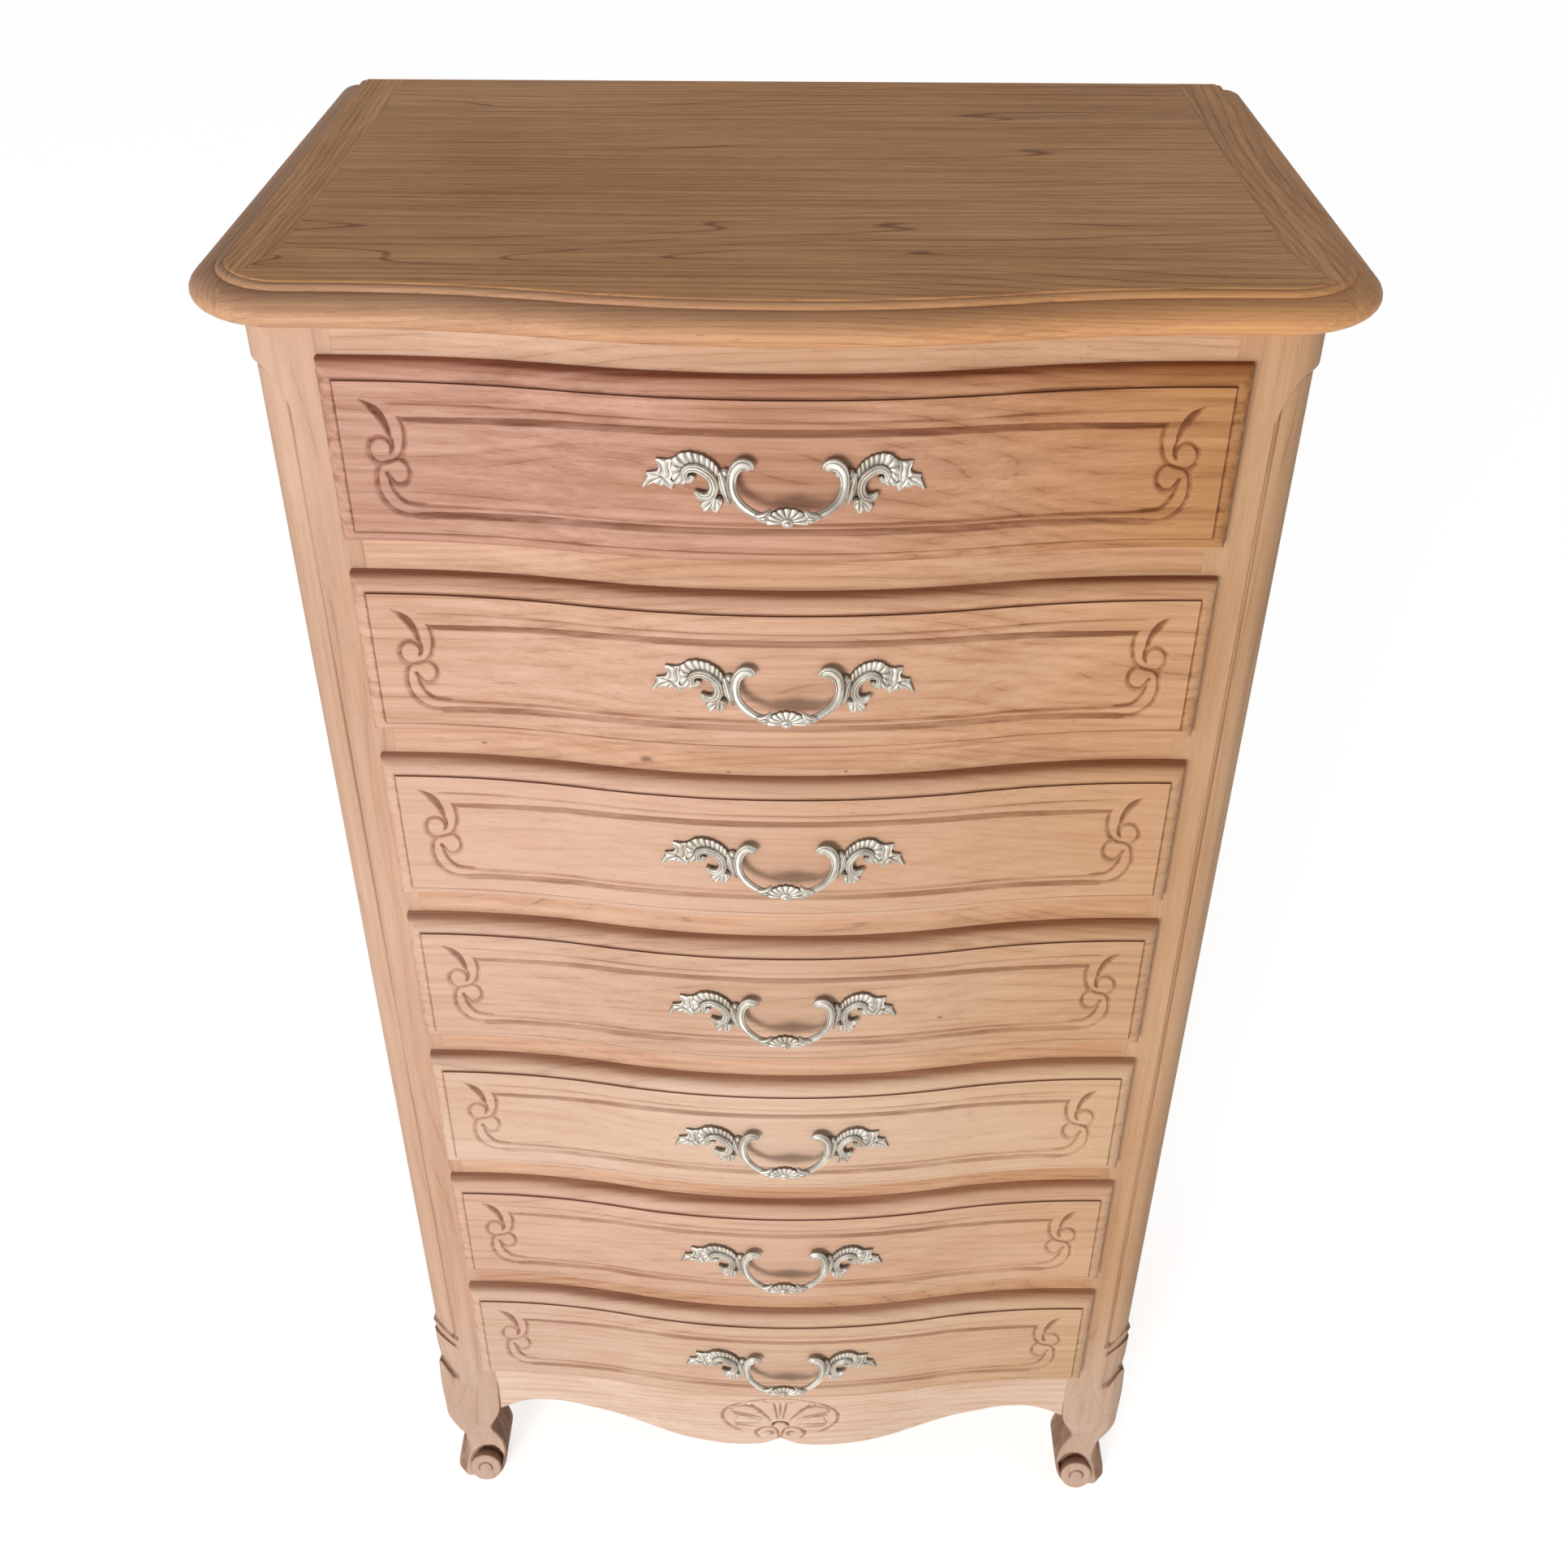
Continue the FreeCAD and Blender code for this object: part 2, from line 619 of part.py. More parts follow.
def front_post():
    """Post with a quirked round corner between stops, a cabriole leg and a scroll foot, right-hand side."""
    inner = size["opening_half"]
    outer = size["body_half"]
    deep = size["post_depth"]
    knee = size["knee_height"]
    upper = size["top_underside"]
    past = size["overrun"]
    shaft = Part.makeBox(size["post_width"], deep, upper - knee, Vector(inner, 0, knee))

    quirk = size["corner_quirk"]
    wide = size["corner_width"]
    radius = wide - quirk
    turn = radius * math.sqrt(0.5)
    left = outer - wide
    side = wide + size["corner_run"]
    moulded = corner_zone([
        ((left, -past), (left, quirk)),
        ((left, quirk), (left + turn, wide - turn), (outer - quirk, wide)),
        ((outer - quirk, wide), (outer - quirk, side)),
        ((outer - quirk, side), (outer + past, side)),
        ((outer + past, side), (outer + past, -past)),
        ((outer + past, -past), (left, -past)),
    ], knee, upper - knee)
    corner = size["shaft_corner"]
    ease = corner * (1 - math.sqrt(0.5))
    eased = corner_zone([
        ((outer - corner, -past), (outer - corner, 0)),
        ((outer - corner, 0), (outer - ease, ease), (outer, corner)),
        ((outer, corner), (outer + past, corner)),
        ((outer + past, corner), (outer + past, -past)),
        ((outer + past, -past), (outer - corner, -past)),
    ], knee, upper - knee)

    # The stops are drawn across the corner: t runs outwards along the corner's diagonal.
    across = Vector(1, -1, 0).normalize()
    along = Vector(1, 1, 0).normalize()
    root = Vector(left, 0, 0)
    span = wide * math.sqrt(0.5)
    cuff = knee + size["cuff_height"]
    rise = size["cuff_slope"]
    stop = upper - size["stop_drop"]
    tongue = size["stop_height"]
    far = 2 * span + past

    def point(t, z):
        return root + across * t + along * (-far) + Vector(0, 0, z)

    low = [point(-far, cuff - rise * far / span), point(far, cuff + rise * far / span)]
    ogee = [point(far, stop), *[point(span * t, stop - tongue * drop) for t, drop in OGEE_SHARES],
            point(-far, stop - tongue)]
    between = [Part.LineSegment(low[0], low[1]), Part.LineSegment(low[1], ogee[0]),
               Part.LineSegment(ogee[0], ogee[1]), Part.Arc(ogee[1], ogee[2], ogee[3]),
               Part.Arc(ogee[3], ogee[4], ogee[5]), Part.LineSegment(ogee[5], ogee[6]),
               Part.LineSegment(ogee[6], low[0])]
    stops = Part.Face(Part.Wire([curve.toShape() for curve in between])).extrude(along * (2 * far))
    shaft = shaft.cut(eased).cut(moulded.common(stops))

    sections = []
    for rise, near, far_side, front, back, rounding in smooth_rows(LEG_SHARES, LEG_STEPS):
        sections.append(leg_section(rise * knee, near * size["post_width"], far_side * size["post_width"],
                                    front * deep, back * deep, rounding * size["knee_corner"]))
    room = Part.makeBox(2 * size["post_width"], 2 * deep, knee, Vector(inner, -deep, 0))
    leg = Part.makeLoft(sections, True, True).common(room)
    middle = inner + size["post_width"] * (LEG_SHARES[-1][1] + LEG_SHARES[-1][2]) / 2
    volute = Part.makeCylinder(size["volute_radius"], size["volute_length"],
                               Vector(middle, -size["volute_front"], size["volute_height"]), Vector(0, 1, 0))
    item = doc.addObject("Part::Feature", "front_post_blank")
    item.Shape = shaft.fuse(leg).fuse(volute).removeSplitter()
    return item


def rear_post():
    """Square rear post that tapers to the floor below the side rail, right-hand side."""
    outer = size["body_half"]
    inner = outer - size["rear_post"]
    back = size["carcass_depth"]
    front = back - size["rear_post"]
    foot = size["rear_foot"]
    shin = size["lip_ground"] - size["apron_drop"]

    def square(near, ahead, z):
        corners = [Vector(near, ahead, z), Vector(outer, ahead, z), Vector(outer, back, z), Vector(near, back, z)]
        return Part.makePolygon(corners + corners[:1])

    taper = Part.makeLoft([square(outer - foot, back - foot, 0), square(inner, front, shin)], True, True)
    shaft = Part.makeBox(size["rear_post"], size["rear_post"], size["top_underside"] - shin,
                         Vector(inner, front, shin))
    item = doc.addObject("Part::Feature", "rear_post_blank")
    item.Shape = shaft.fuse(taper).removeSplitter()
    return item


def lower_side_rail():
    """Lower side rail with an arched lower edge, right-hand side."""
    body = doc.addObject("PartDesign::Body", "lower_side_rail")
    sketch = new_sketch(body, "YZ_Plane", "lower_side_outline", "body_half - side_rail")
    near = size["post_depth"]
    far = near + size["side_length"]
    upper = size["lower_rail_top"]
    lower = upper - size["lower_rail_height"]
    arch = lower + size["side_scallop"]
    ends = trace(sketch, [
        ((near, lower), ((near + far) / 2, arch), (far, lower)),
        ((far, lower), (far, upper)),
        ((far, upper), (near, upper)),
        ((near, upper), (near, lower)),
    ])
    pin(sketch, ends[0], "post_depth", "lower_rail_top - lower_rail_height")
    pin(sketch, ends[2], "post_depth + side_length", "lower_rail_top")
    pad(body, sketch, "side_rail", "lower_side_pad")
    return body


def runner():
    """Drawer runner: a bearing under the drawer side with a guide beside it, right-hand side."""
    body = doc.addObject("PartDesign::Body", "runner")
    sketch = new_sketch(body, "XZ_Plane", "runner_section", "- post_depth")
    near = size["opening_half"] - size["runner_bearing"]
    jamb = size["opening_half"]
    far = size["panel_inner"]
    low = size["lip_overlap"] - size["runner_thickness"]
    bed = size["lip_overlap"]
    tall = bed + size["guide_height"]
    corners = [(near, low), (far, low), (far, tall), (jamb, tall), (jamb, bed), (near, bed)]
    ends = trace(sketch, list(zip(corners, corners[1:] + corners[:1])))
    pin(sketch, ends[0], "opening_half - runner_bearing", "lip_overlap - runner_thickness")
    pin(sketch, ends[2], "panel_inner", "lip_overlap + guide_height")
    pad(body, sketch, "side_length", "runner_pad", Reversed=True)
    return body


nodes = []


def node(label, *sources, lift="0"):
    """A finished sub-part: one or more solids, placed in the frame of the whole part."""
    item = doc.addObject("Part::Compound", label)
    item.Label = label
    item.Links = list(sources)
    bound(item, Placement__Base__y="face_y", Placement__Base__z=lift)
    nodes.append((item, len(sources)))


# Drawers: one drawer is modelled with the lower edge of its lip at z = 0, then placed at each level.
shanks, holes = screws()
side_right, side_left, box_back, box_bottom = drawer_box()
lip_front = combined("Cut", "front_finished", drawer_front(), side_right, side_left, box_bottom, *holes)
casting = combined("Cut", "handle_finished", handle(), *holes)
for number in range(1, DRAWERS + 1):
    level = f"lip_ground + {DRAWERS - number} * drawer_pitch"
    node(f"drawer_{number}_front", lip_front, lift=level)
    node(f"drawer_{number}_sides", side_left, side_right, lift=level)
    node(f"drawer_{number}_back", box_back, lift=level)
    node(f"drawer_{number}_bottom", box_bottom, lift=level)
    node(f"drawer_{number}_handle", casting, lift=level)
    node(f"drawer_{number}_screws", *shanks, lift=level)

# Side frames and back.
panel = board("panel_right", "panel_thickness", "side_length + 2 * panel_tongue",
              "top_underside - upper_rail_height - lower_rail_top + 2 * panel_tongue",
              "panel_inner", "post_depth - panel_tongue", "lower_rail_top - panel_tongue")
upper_rail = board("upper_side_rail", "side_rail", "side_length", "upper_rail_height",
                   "body_half - side_rail", "post_depth", "top_underside - upper_rail_height")
back_panel = board("back_sheet", "2 * ( body_half - rear_post + back_rebate )", "back_thickness",
                   "top_underside - lower_rail_top + lower_rail_height - 2 * back_rebate",
                   "- ( body_half - rear_post + back_rebate )", "carcass_depth - back_thickness",
                   "lower_rail_top - lower_rail_height + back_rebate")
back_rails = [
    board(f"back_rail_{place}", "2 * ( body_half - rear_post )", "back_rail", tall,
          "- ( body_half - rear_post )", "carcass_depth - back_rail", foot)
    for place, tall, foot in (("upper", "upper_rail_height", "top_underside - upper_rail_height"),
                              ("lower", "lower_rail_height", "lower_rail_top - lower_rail_height"))
]
post = combined("Cut", "front_post_grooved", front_post(), panel)
rear = combined("Cut", "rear_post_grooved", rear_post(), panel, back_panel)
side_rails = [combined("Cut", f"{rail.Name}_grooved", rail, panel) for rail in (upper_rail, lower_side_rail())]
node("front_post_right", post)
node("front_post_left", mirrored("front_post_twin", post))
node("rear_post_right", rear)
node("rear_post_left", mirrored("rear_post_twin", rear))
node("side_panel_right", panel)
node("side_panel_left", mirrored("panel_twin", panel))
node("side_rails", *side_rails, *[mirrored(f"{rail.Name}_twin", rail) for rail in side_rails])
node("back_panel", back_panel)
node("back_rails", *[combined("Cut", f"{rail.Name}_rebated", rail, back_panel) for rail in back_rails])

# Front rails, runners and kickers.
node("frieze_rail", bowed_board("frieze", "opening_half", "post_depth", "frieze_height", "lip_top - lip_overlap"))
rail = bowed_board("rail", "opening_half", "post_depth", "rail_height")
node("drawer_rails", *[raised(f"rail_{place}", rail, f"lip_ground + {place} * drawer_pitch - lip_gap - lip_overlap")
                       for place in range(1, DRAWERS)])
node("apron_rail", apron())
bearing = runner()
pair = [bearing, mirrored("runner_twin", bearing)]
node("drawer_runners", *[raised(f"{piece.Name}_{place}", piece, f"lip_ground + {place} * drawer_pitch")
                         for place in range(DRAWERS) for piece in pair])
kicker = board("kicker", "kicker_width", "carcass_depth - post_depth - back_rail", "frieze_height",
               "opening_half - kicker_width", "post_depth", "lip_top - lip_overlap")
node("top_kickers", kicker, mirrored("kicker_twin", kicker))

# Top.
for label, piece in zip(("top_field", "top_front_strip", "top_end_left", "top_end_right"), top()):
    node(label, piece)

doc.recompute()
faults = [item.Label for item in doc.Objects if {"Invalid", "Error"} & set(item.State)]
for item, solids in nodes:
    shape = item.Shape
    if shape.isNull() or not shape.isValid() or len(shape.Solids) != solids:
        faults.append(item.Label)
if faults:
    raise RuntimeError(f"not built: {', '.join(faults)}")

os.makedirs("parts", exist_ok=True)
for item, _ in nodes:
    item.Shape.exportStep(f"parts/{item.Label}.step")
print(len(nodes), "nodes,", sum(solids for _, solids in nodes), "solids")
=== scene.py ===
# %% [markdown]
# # A tall chest of seven drawers
# A semainier is a narrow chest with one drawer for each day of the week. This one is stripped, bare cherry
# wood: a bowed front, a moulded top, seven lipped and carved drawers with cast handles, an apron with a shell,
# and cabriole legs on scroll feet. The packed CAD model gives every size and every place. This lesson dresses
# it: each visible piece is a surface worked out with numpy, and each finish is a small tree of nodes.

# %% The frame that everything is built on
from math import cos, pi, radians, sin

import bmesh
import bpy
import numpy as np
from mathutils import Matrix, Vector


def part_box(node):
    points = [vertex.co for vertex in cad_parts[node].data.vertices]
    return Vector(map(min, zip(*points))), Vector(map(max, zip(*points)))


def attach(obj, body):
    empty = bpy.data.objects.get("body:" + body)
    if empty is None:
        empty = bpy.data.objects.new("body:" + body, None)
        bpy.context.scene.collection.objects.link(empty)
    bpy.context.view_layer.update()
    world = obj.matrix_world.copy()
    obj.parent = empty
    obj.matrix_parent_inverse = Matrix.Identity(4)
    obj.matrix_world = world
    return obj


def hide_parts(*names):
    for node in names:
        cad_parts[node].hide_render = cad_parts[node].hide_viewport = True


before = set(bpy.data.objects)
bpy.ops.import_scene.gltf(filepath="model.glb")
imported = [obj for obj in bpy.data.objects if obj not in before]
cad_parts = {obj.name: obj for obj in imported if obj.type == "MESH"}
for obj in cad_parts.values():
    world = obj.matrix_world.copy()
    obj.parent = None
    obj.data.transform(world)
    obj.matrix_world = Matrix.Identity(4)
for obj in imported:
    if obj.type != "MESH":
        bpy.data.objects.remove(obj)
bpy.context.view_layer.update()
MM = 0.001
CARCASS_DEPTH = 410.0
face_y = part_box("back_panel")[1].y / MM - CARCASS_DEPTH

# %% [markdown]
# ## Writing a finish as an expression
# A finish is a tree of nodes, and a tree is easier to read as arithmetic. The class below wraps a node's output
# so that `1 - mask` or `grain * 0.4` adds the Math node by itself. Every other node comes from one method.

# %% Nodes as expressions
class Socket:
    """An output of a node: + - * / ** and abs() on it add Math nodes to its finish."""

    def __init__(self, finish, output):
        self.finish, self.output = finish, output

    def calc(self, operation, *values):
        return self.finish.node("Math", {"operation": operation}, dict(enumerate(values)))

    def __add__(self, other): return self.calc("ADD", self, other)
    def __sub__(self, other): return self.calc("SUBTRACT", self, other)
    def __mul__(self, other): return self.calc("MULTIPLY", self, other)
    def __truediv__(self, other): return self.calc("DIVIDE", self, other)
    def __pow__(self, other): return self.calc("POWER", self, other)
    def __rsub__(self, other): return self.calc("SUBTRACT", other, self)
    def __abs__(self): return self.calc("ABSOLUTE", self)
    __radd__, __rmul__ = __add__, __mul__


class Finish:
    """A tree of nodes, in a new material or a given owner; `node` adds any node: settings first, then sockets."""

    def __init__(self, name, owner=None):
        self.owner = bpy.data.materials.new(name) if owner is None else owner
        self.owner.use_nodes = True
        self.tree = self.owner.node_tree
        self.tree.nodes.clear()

    def node(self, kind, settings=None, inputs=None, output=0):
        made = self.tree.nodes.new("ShaderNode" + kind)
        for key, value in (settings or {}).items():
            setattr(made, key, value)
        for key, value in (inputs or {}).items():
            if isinstance(value, Socket):
                self.tree.links.new(value.output, made.inputs[key])
            else:
                made.inputs[key].default_value = value
        return Socket(self, made.outputs[output]) if len(made.outputs) else None

    def place(self):
        """Object coordinates, in metres."""
        return self.node("TexCoord", None, None, "Object")

    def axes(self, place, names="XYZ"):
        """The named coordinates of a place, one value each."""
        return [self.node("SeparateXYZ", None, {0: place}, axis) for axis in names]

    def recess(self):
        """How much painted shade, with old varnish on wood and patina on metal, a point of the mesh holds, 0 to 1."""
        return self.node("Attribute", {"attribute_name": "recess"}, None, "Fac")

    def noise(self, place, scale, detail=3.0, rough=0.5, warp=0.0):
        return self.node("TexNoise", None, {"Vector": place, "Scale": scale, "Detail": detail,
                                            "Roughness": rough, "Distortion": warp})

    def rise(self, value, low, high):
        """0 below low, 1 above high, and a smooth rise between them."""
        return self.node("MapRange", {"interpolation_type": "SMOOTHSTEP"},
                         {"Value": value, "From Min": low, "From Max": high})

    def blend(self, factor, first, second, way="MIX"):
        """The first colour turned into the second, as far as the factor says."""
        return self.node("Mix", {"data_type": "RGBA", "blend_type": way}, {0: factor, 6: first, 7: second}, 2)

    def tint(self, factor, tone, colour):
        """The tone multiplied by a colour, as far as the factor says."""
        return self.blend(factor, tone, colour, "MULTIPLY")

    def led_out(self, shader, kind="OutputMaterial"):
        """Leads a shader to the output and gives back what owns the tree."""
        self.node(kind, None, {"Surface": shader})
        return self.owner

    def surface(self, inputs):
        return self.led_out(self.node("BsdfPrincipled", None, inputs))


print("a finish can add:", [name for name in vars(Finish) if not name.startswith("_")])

# %% [markdown]
# ## Bare cherry wood
# The old varnish has been stripped, so the wood is pale, pinkish and dull, and the carved hollows still hold
# brown residue. Flat-sawn boards show long nested curves. A picture of one board would give them, but the same
# on every drawer. Level lines of the distance across the grain, bent by a noise that is drawn out along it, give
# other curves for each board. Finer noises give the streaks, the fibres and the short dark flecks. The grain runs
# along x on rails and fronts, along z on posts, and along y on the ends of the top.

# %% Colours in linear light, and the figure of a board
def linear(*levels):
    """A colour from 0-255 screen levels, each raised by the screen's curve, with alpha 1."""
    shares = np.array(levels) / 255
    return tuple(np.where(shares <= 0.04045, shares / 12.92, ((shares + 0.055) / 1.055) ** 2.4)) + (1.0,)


def drawn_out(made, place, grain, share, spot):
    """Object coordinates, moved by `spot` and squeezed along the grain so that a noise on them is drawn out."""
    scale = [1.0, 1.0, 1.0]
    scale["xyz".index(grain)] = share
    return made.node("Mapping", None, {"Vector": place, "Location": spot, "Scale": scale})


def grain_of(made, place, grain, spot, lines):
    """The figure of a board: soft rings, thin ring lines, streaks, fibres and short flecks, each 0 to 1. The rings
    are level lines of the distance across the grain plus a drawn-out noise, so they run along it in long waves."""
    x, y, z = made.axes(place)
    across = {"x": y + z, "y": x + z, "z": x + y}[grain]
    wave = made.noise(drawn_out(made, place, grain, 0.14, spot), 7.0, 2.0, 0.45, 0.3)
    ripple = made.noise(drawn_out(made, place, grain, 0.05, spot), 50.0, 2.0, 0.5)
    tooth = (wave * (0.45 * lines) + across * (2.4 * lines) + ripple * 0.5)
    tooth = tooth.calc("PINGPONG", tooth, 0.5)
    rings, hairline = made.rise(tooth, 0.5, 0.0), made.rise(tooth, 0.06, 0.0)
    streaks = made.rise(made.noise(drawn_out(made, place, grain, 0.025, spot), 140.0, 3.0, 0.6), 0.3, 0.72)
    fibres = made.noise(drawn_out(made, place, grain, 0.03, spot), 900.0, 3.0, 0.65)
    flecks = made.rise(made.noise(drawn_out(made, place, grain, 0.07, spot), 1000.0, 1.0), 0.67, 0.76)
    return rings, hairline, streaks, fibres, flecks


def knotted(made, place, knots):
    """1 in a knot's heart and 0 outside it: a distance drawn out along x, over the radius, made uneven by a noise.
    A knot is x, z and radius in metres."""
    x, z = made.axes(place, "XZ")
    wobble = made.noise(place, 160.0, 2.0) - 0.5
    near = 0.0
    for kx, kz, radius in knots:
        away = (((x - kx) * 0.6) ** 2 + (z - kz) ** 2) ** 0.5 / radius + wobble * 0.9
        near = away.calc("MAXIMUM", made.rise(away, 1.0, 0.0), near)
    return near


print("mid grey in linear light:", round(linear(128)[0], 3))

# %% The wood
# The stain colour tints old varnish and painted shade, the crevice colour is painted shade, and the golden tint paints
# warm shade on the right side.
DARK_BROWN, CREVICE_SHADE, STAIN_AND_SHADE = linear(96, 58, 38), linear(62, 36, 24), (0.36, 0.215, 0.135, 1.0)
WARM_SHADE_TINT, PALER = (0.9, 0.77, 0.36, 1.0), (1.02, 1.14, 1.28, 1.0)


def wood(name, grain, pale, deep, spot=(0.0, 0.0, 0.0), figure=0.5, lines=55.0, residue_and_shade=0.8, warm_right_shade=0.4,
         knots=(), dusty=0.0):
    """Bare cherry: pale turns deep with rings, streaks, patches and fibres; ring lines and flecks are darker. The
    right side is darkened and warmed with painted shade, and a `dusty` foot paler. Knots, old varnish with painted
    shade in the hollows, and painted shade in the crevices lie over that."""
    made = Finish(name)
    place = made.place()
    across, height = made.axes(place, "XZ")
    foot = made.rise(height, 0.32, 0.12) * dusty
    patches = made.noise(drawn_out(made, place, grain, 0.5, spot), 6.0, 3.0, 0.55)
    rings, hairline, streaks, fibres, flecks = grain_of(made, place, grain, spot, lines)
    hollow = made.recess()
    uneven = (patches - 0.5) * 0.4 + (streaks - 0.4) * 0.7
    # Old varnish in the hollows, darkened further with painted shade.
    grime_and_shade = made.rise(hollow + uneven * hollow * (1 - hollow) * 2.0, 0.12, 1.0)
    depth = rings * (0.2 * figure) + streaks * (0.6 * figure) + made.rise(patches, 0.3, 0.7) * 0.36 \
        + (fibres - 0.5) * 0.7
    ring_line = hairline * made.rise(streaks + (patches - 0.5) * 1.2, 0.1, 0.9) * (0.66 * figure)
    shade = tuple(0.5 * level for level in deep[:3]) + (1.0,)
    # Painted warm shade towards the right side.
    right_shade_share = made.rise(across + (patches - 0.5) * 0.4, -0.2, 0.36)
    tone = made.blend(depth, pale, deep)
    tone = made.blend(ring_line, tone, shade)
    tone = made.blend(flecks * 0.3, tone, shade)
    tone = made.tint(right_shade_share * warm_right_shade * (1 - foot * 0.7), tone, WARM_SHADE_TINT)
    tone = made.tint(foot, tone, PALER)
    if knots:
        tone = made.blend(knotted(made, place, knots) * 0.75, tone, DARK_BROWN)
    tone = made.tint(grime_and_shade * residue_and_shade, tone, STAIN_AND_SHADE)
    # Painted shade in the crevices.
    tone = made.blend(made.rise(hollow, 0.84, 1.0) * 0.8, tone, CREVICE_SHADE)
    bump = made.node("Bump", None, {"Strength": 0.25, "Distance": 0.0005,
                                    "Height": fibres * 0.6 - flecks * 0.5 - hairline * 0.3})
    return made.surface({"Base Color": tone, "Roughness": 0.62 + (fibres - 0.5) * 0.3 + grime_and_shade * 0.12,
                         "Specular IOR Level": 0.3, "Normal": bump})


print("residue in the hollows:", [round(level, 3) for level in DARK_BROWN[:3]])

# %% The boards of this chest
RAIL_KNOTS = ((-0.091, 0.899, 0.004), (-0.203, 0.9, 0.002), (-0.036, 0.8925, 0.0015), (0.043, 0.8935, 0.0015))
FRONT_KNOTS = {4: ((0.118, 0.668, 0.002),)}
FRONT_TONES = (  # pale, deep, place in the noise, figure, strength of old varnish and painted shade, painted warm shade on the right side
    ((218, 171, 151), (168, 116, 89), (0.2, 0.0, 0.35), 0.82, 0.86, 0.95),
    ((225, 183, 158), (188, 136, 105), (0.9, 0.4, 0.15), 0.8, 0.84, 0.6),
    ((223, 184, 160), (196, 148, 118), (1.8, 0.8, 0.55), 0.42, 0.74, 0.5),
    ((223, 186, 162), (190, 145, 116), (2.6, 0.3, 0.85), 0.62, 0.7, 0.5),
    ((228, 195, 172), (201, 159, 130), (3.3, 0.6, 0.05), 0.45, 0.67, 0.45),
    ((224, 185, 161), (194, 148, 120), (4.2, 0.1, 0.45), 0.55, 0.67, 0.45),
    ((228, 195, 172), (198, 156, 129), (5.1, 0.9, 0.75), 0.55, 0.63, 0.45))
rail_wood = wood("rail_wood", "x", linear(226, 184, 155), linear(182, 132, 98), (0.3, 0.1, 0.7),
                 figure=0.75, knots=RAIL_KNOTS)
frieze_wood = wood("frieze_wood", "x", linear(226, 190, 164), linear(194, 148, 115), (2.3, 0.4, 0.2),
                   figure=0.75)
apron_wood = wood("apron_wood", "x", linear(243, 218, 198), linear(214, 173, 145), (1.75, 0.6, 0.2),
                  figure=0.6, lines=40.0, residue_and_shade=0.75, warm_right_shade=0.1)
post_wood = wood("post_wood", "z", linear(217, 179, 153), linear(184, 139, 108), (0.7, 0.2, 0.4),
                 lines=34.0, residue_and_shade=0.7, warm_right_shade=0.45, dusty=1.0)
side_wood = wood("side_wood", "z", linear(220, 184, 156), linear(176, 130, 98), (2.1, 0.5, 0.9), figure=0.75)
side_rail_wood = wood("side_rail_wood", "y", linear(220, 182, 154), linear(180, 132, 100), (0.9, 1.7, 0.3),
                      figure=0.6)
inner_wood = wood("inner_wood", "y", linear(222, 198, 166), linear(190, 158, 120), (3.1, 0.2, 1.4),
                  figure=0.45, lines=40.0)
inner_cross_wood = wood("inner_cross_wood", "x", linear(220, 196, 164), linear(186, 154, 116), (1.1, 2.2, 0.6),
                        figure=0.45, lines=40.0)
front_woods = [wood(f"front_wood_{count}", "x", linear(*pale), linear(*deep), spot, figure, 48.0, residue_and_shade, warm_right_shade,
                    FRONT_KNOTS.get(count, ()))
               for count, (pale, deep, spot, figure, residue_and_shade, warm_right_shade) in enumerate(FRONT_TONES, 1)]
print("woods made:", len(front_woods) + 8)

# %% [markdown]
# ## From a grid of points to a piece
# A surface is a grid of points that a formula fills at once. The helpers below turn grids into quads, put the
# quads into one mesh, merge the seams, turn all faces outwards and keep at each point a value of its dirt and
# painted shade, which tells the finish where dirt has stayed and where shade is painted. Lengths are in
# millimetres from the posts' front plane until here.

# %% Sheets and smooth lines
def sheet(points, recess=0.0, ring=False, capped=False):
    """Points of a rows x cols grid, quads between neighbours (ring: the last column meets the first), end caps."""
    rows, cols = points.shape[:2]
    number = np.arange(rows * cols).reshape(rows, cols)
    net = np.hstack([number, number[:, :1]]) if ring else number
    quads = np.stack([net[:-1, :-1], net[1:, :-1], net[1:, 1:], net[:-1, 1:]], -1).reshape(-1, 4)
    caps = [number[0], number[-1]] if capped else []
    return points.reshape(-1, 3), quads, caps, np.broadcast_to(recess, (rows, cols)).reshape(-1)


def mirrored(sheets):
    """The same sheets with x turned to -x."""
    return [(points * [-1, 1, 1], quads, caps, recess) for points, quads, caps, recess in sheets]


def flowing(points, count):
    """A smooth (Catmull-Rom) line of `count` rows through the given rows, whatever their columns mean."""
    rows = np.asarray(points, float)
    place = np.linspace(0, len(rows) - 1, count)
    index = np.minimum(place.astype(int), len(rows) - 2)
    t = (place - index)[:, None]
    before, start, end, after = (rows[np.clip(index + shift, 0, len(rows) - 1)] for shift in (-1, 0, 1, 2))
    return 0.5 * (2 * start + (end - before) * t + (2 * before - 5 * start + 4 * end - after) * t ** 2
                  + (3 * start - before - 3 * end + after) * t ** 3)


print("a grid of 3 x 3 points has", len(sheet(np.zeros((3, 3, 3)))[1]), "quads")

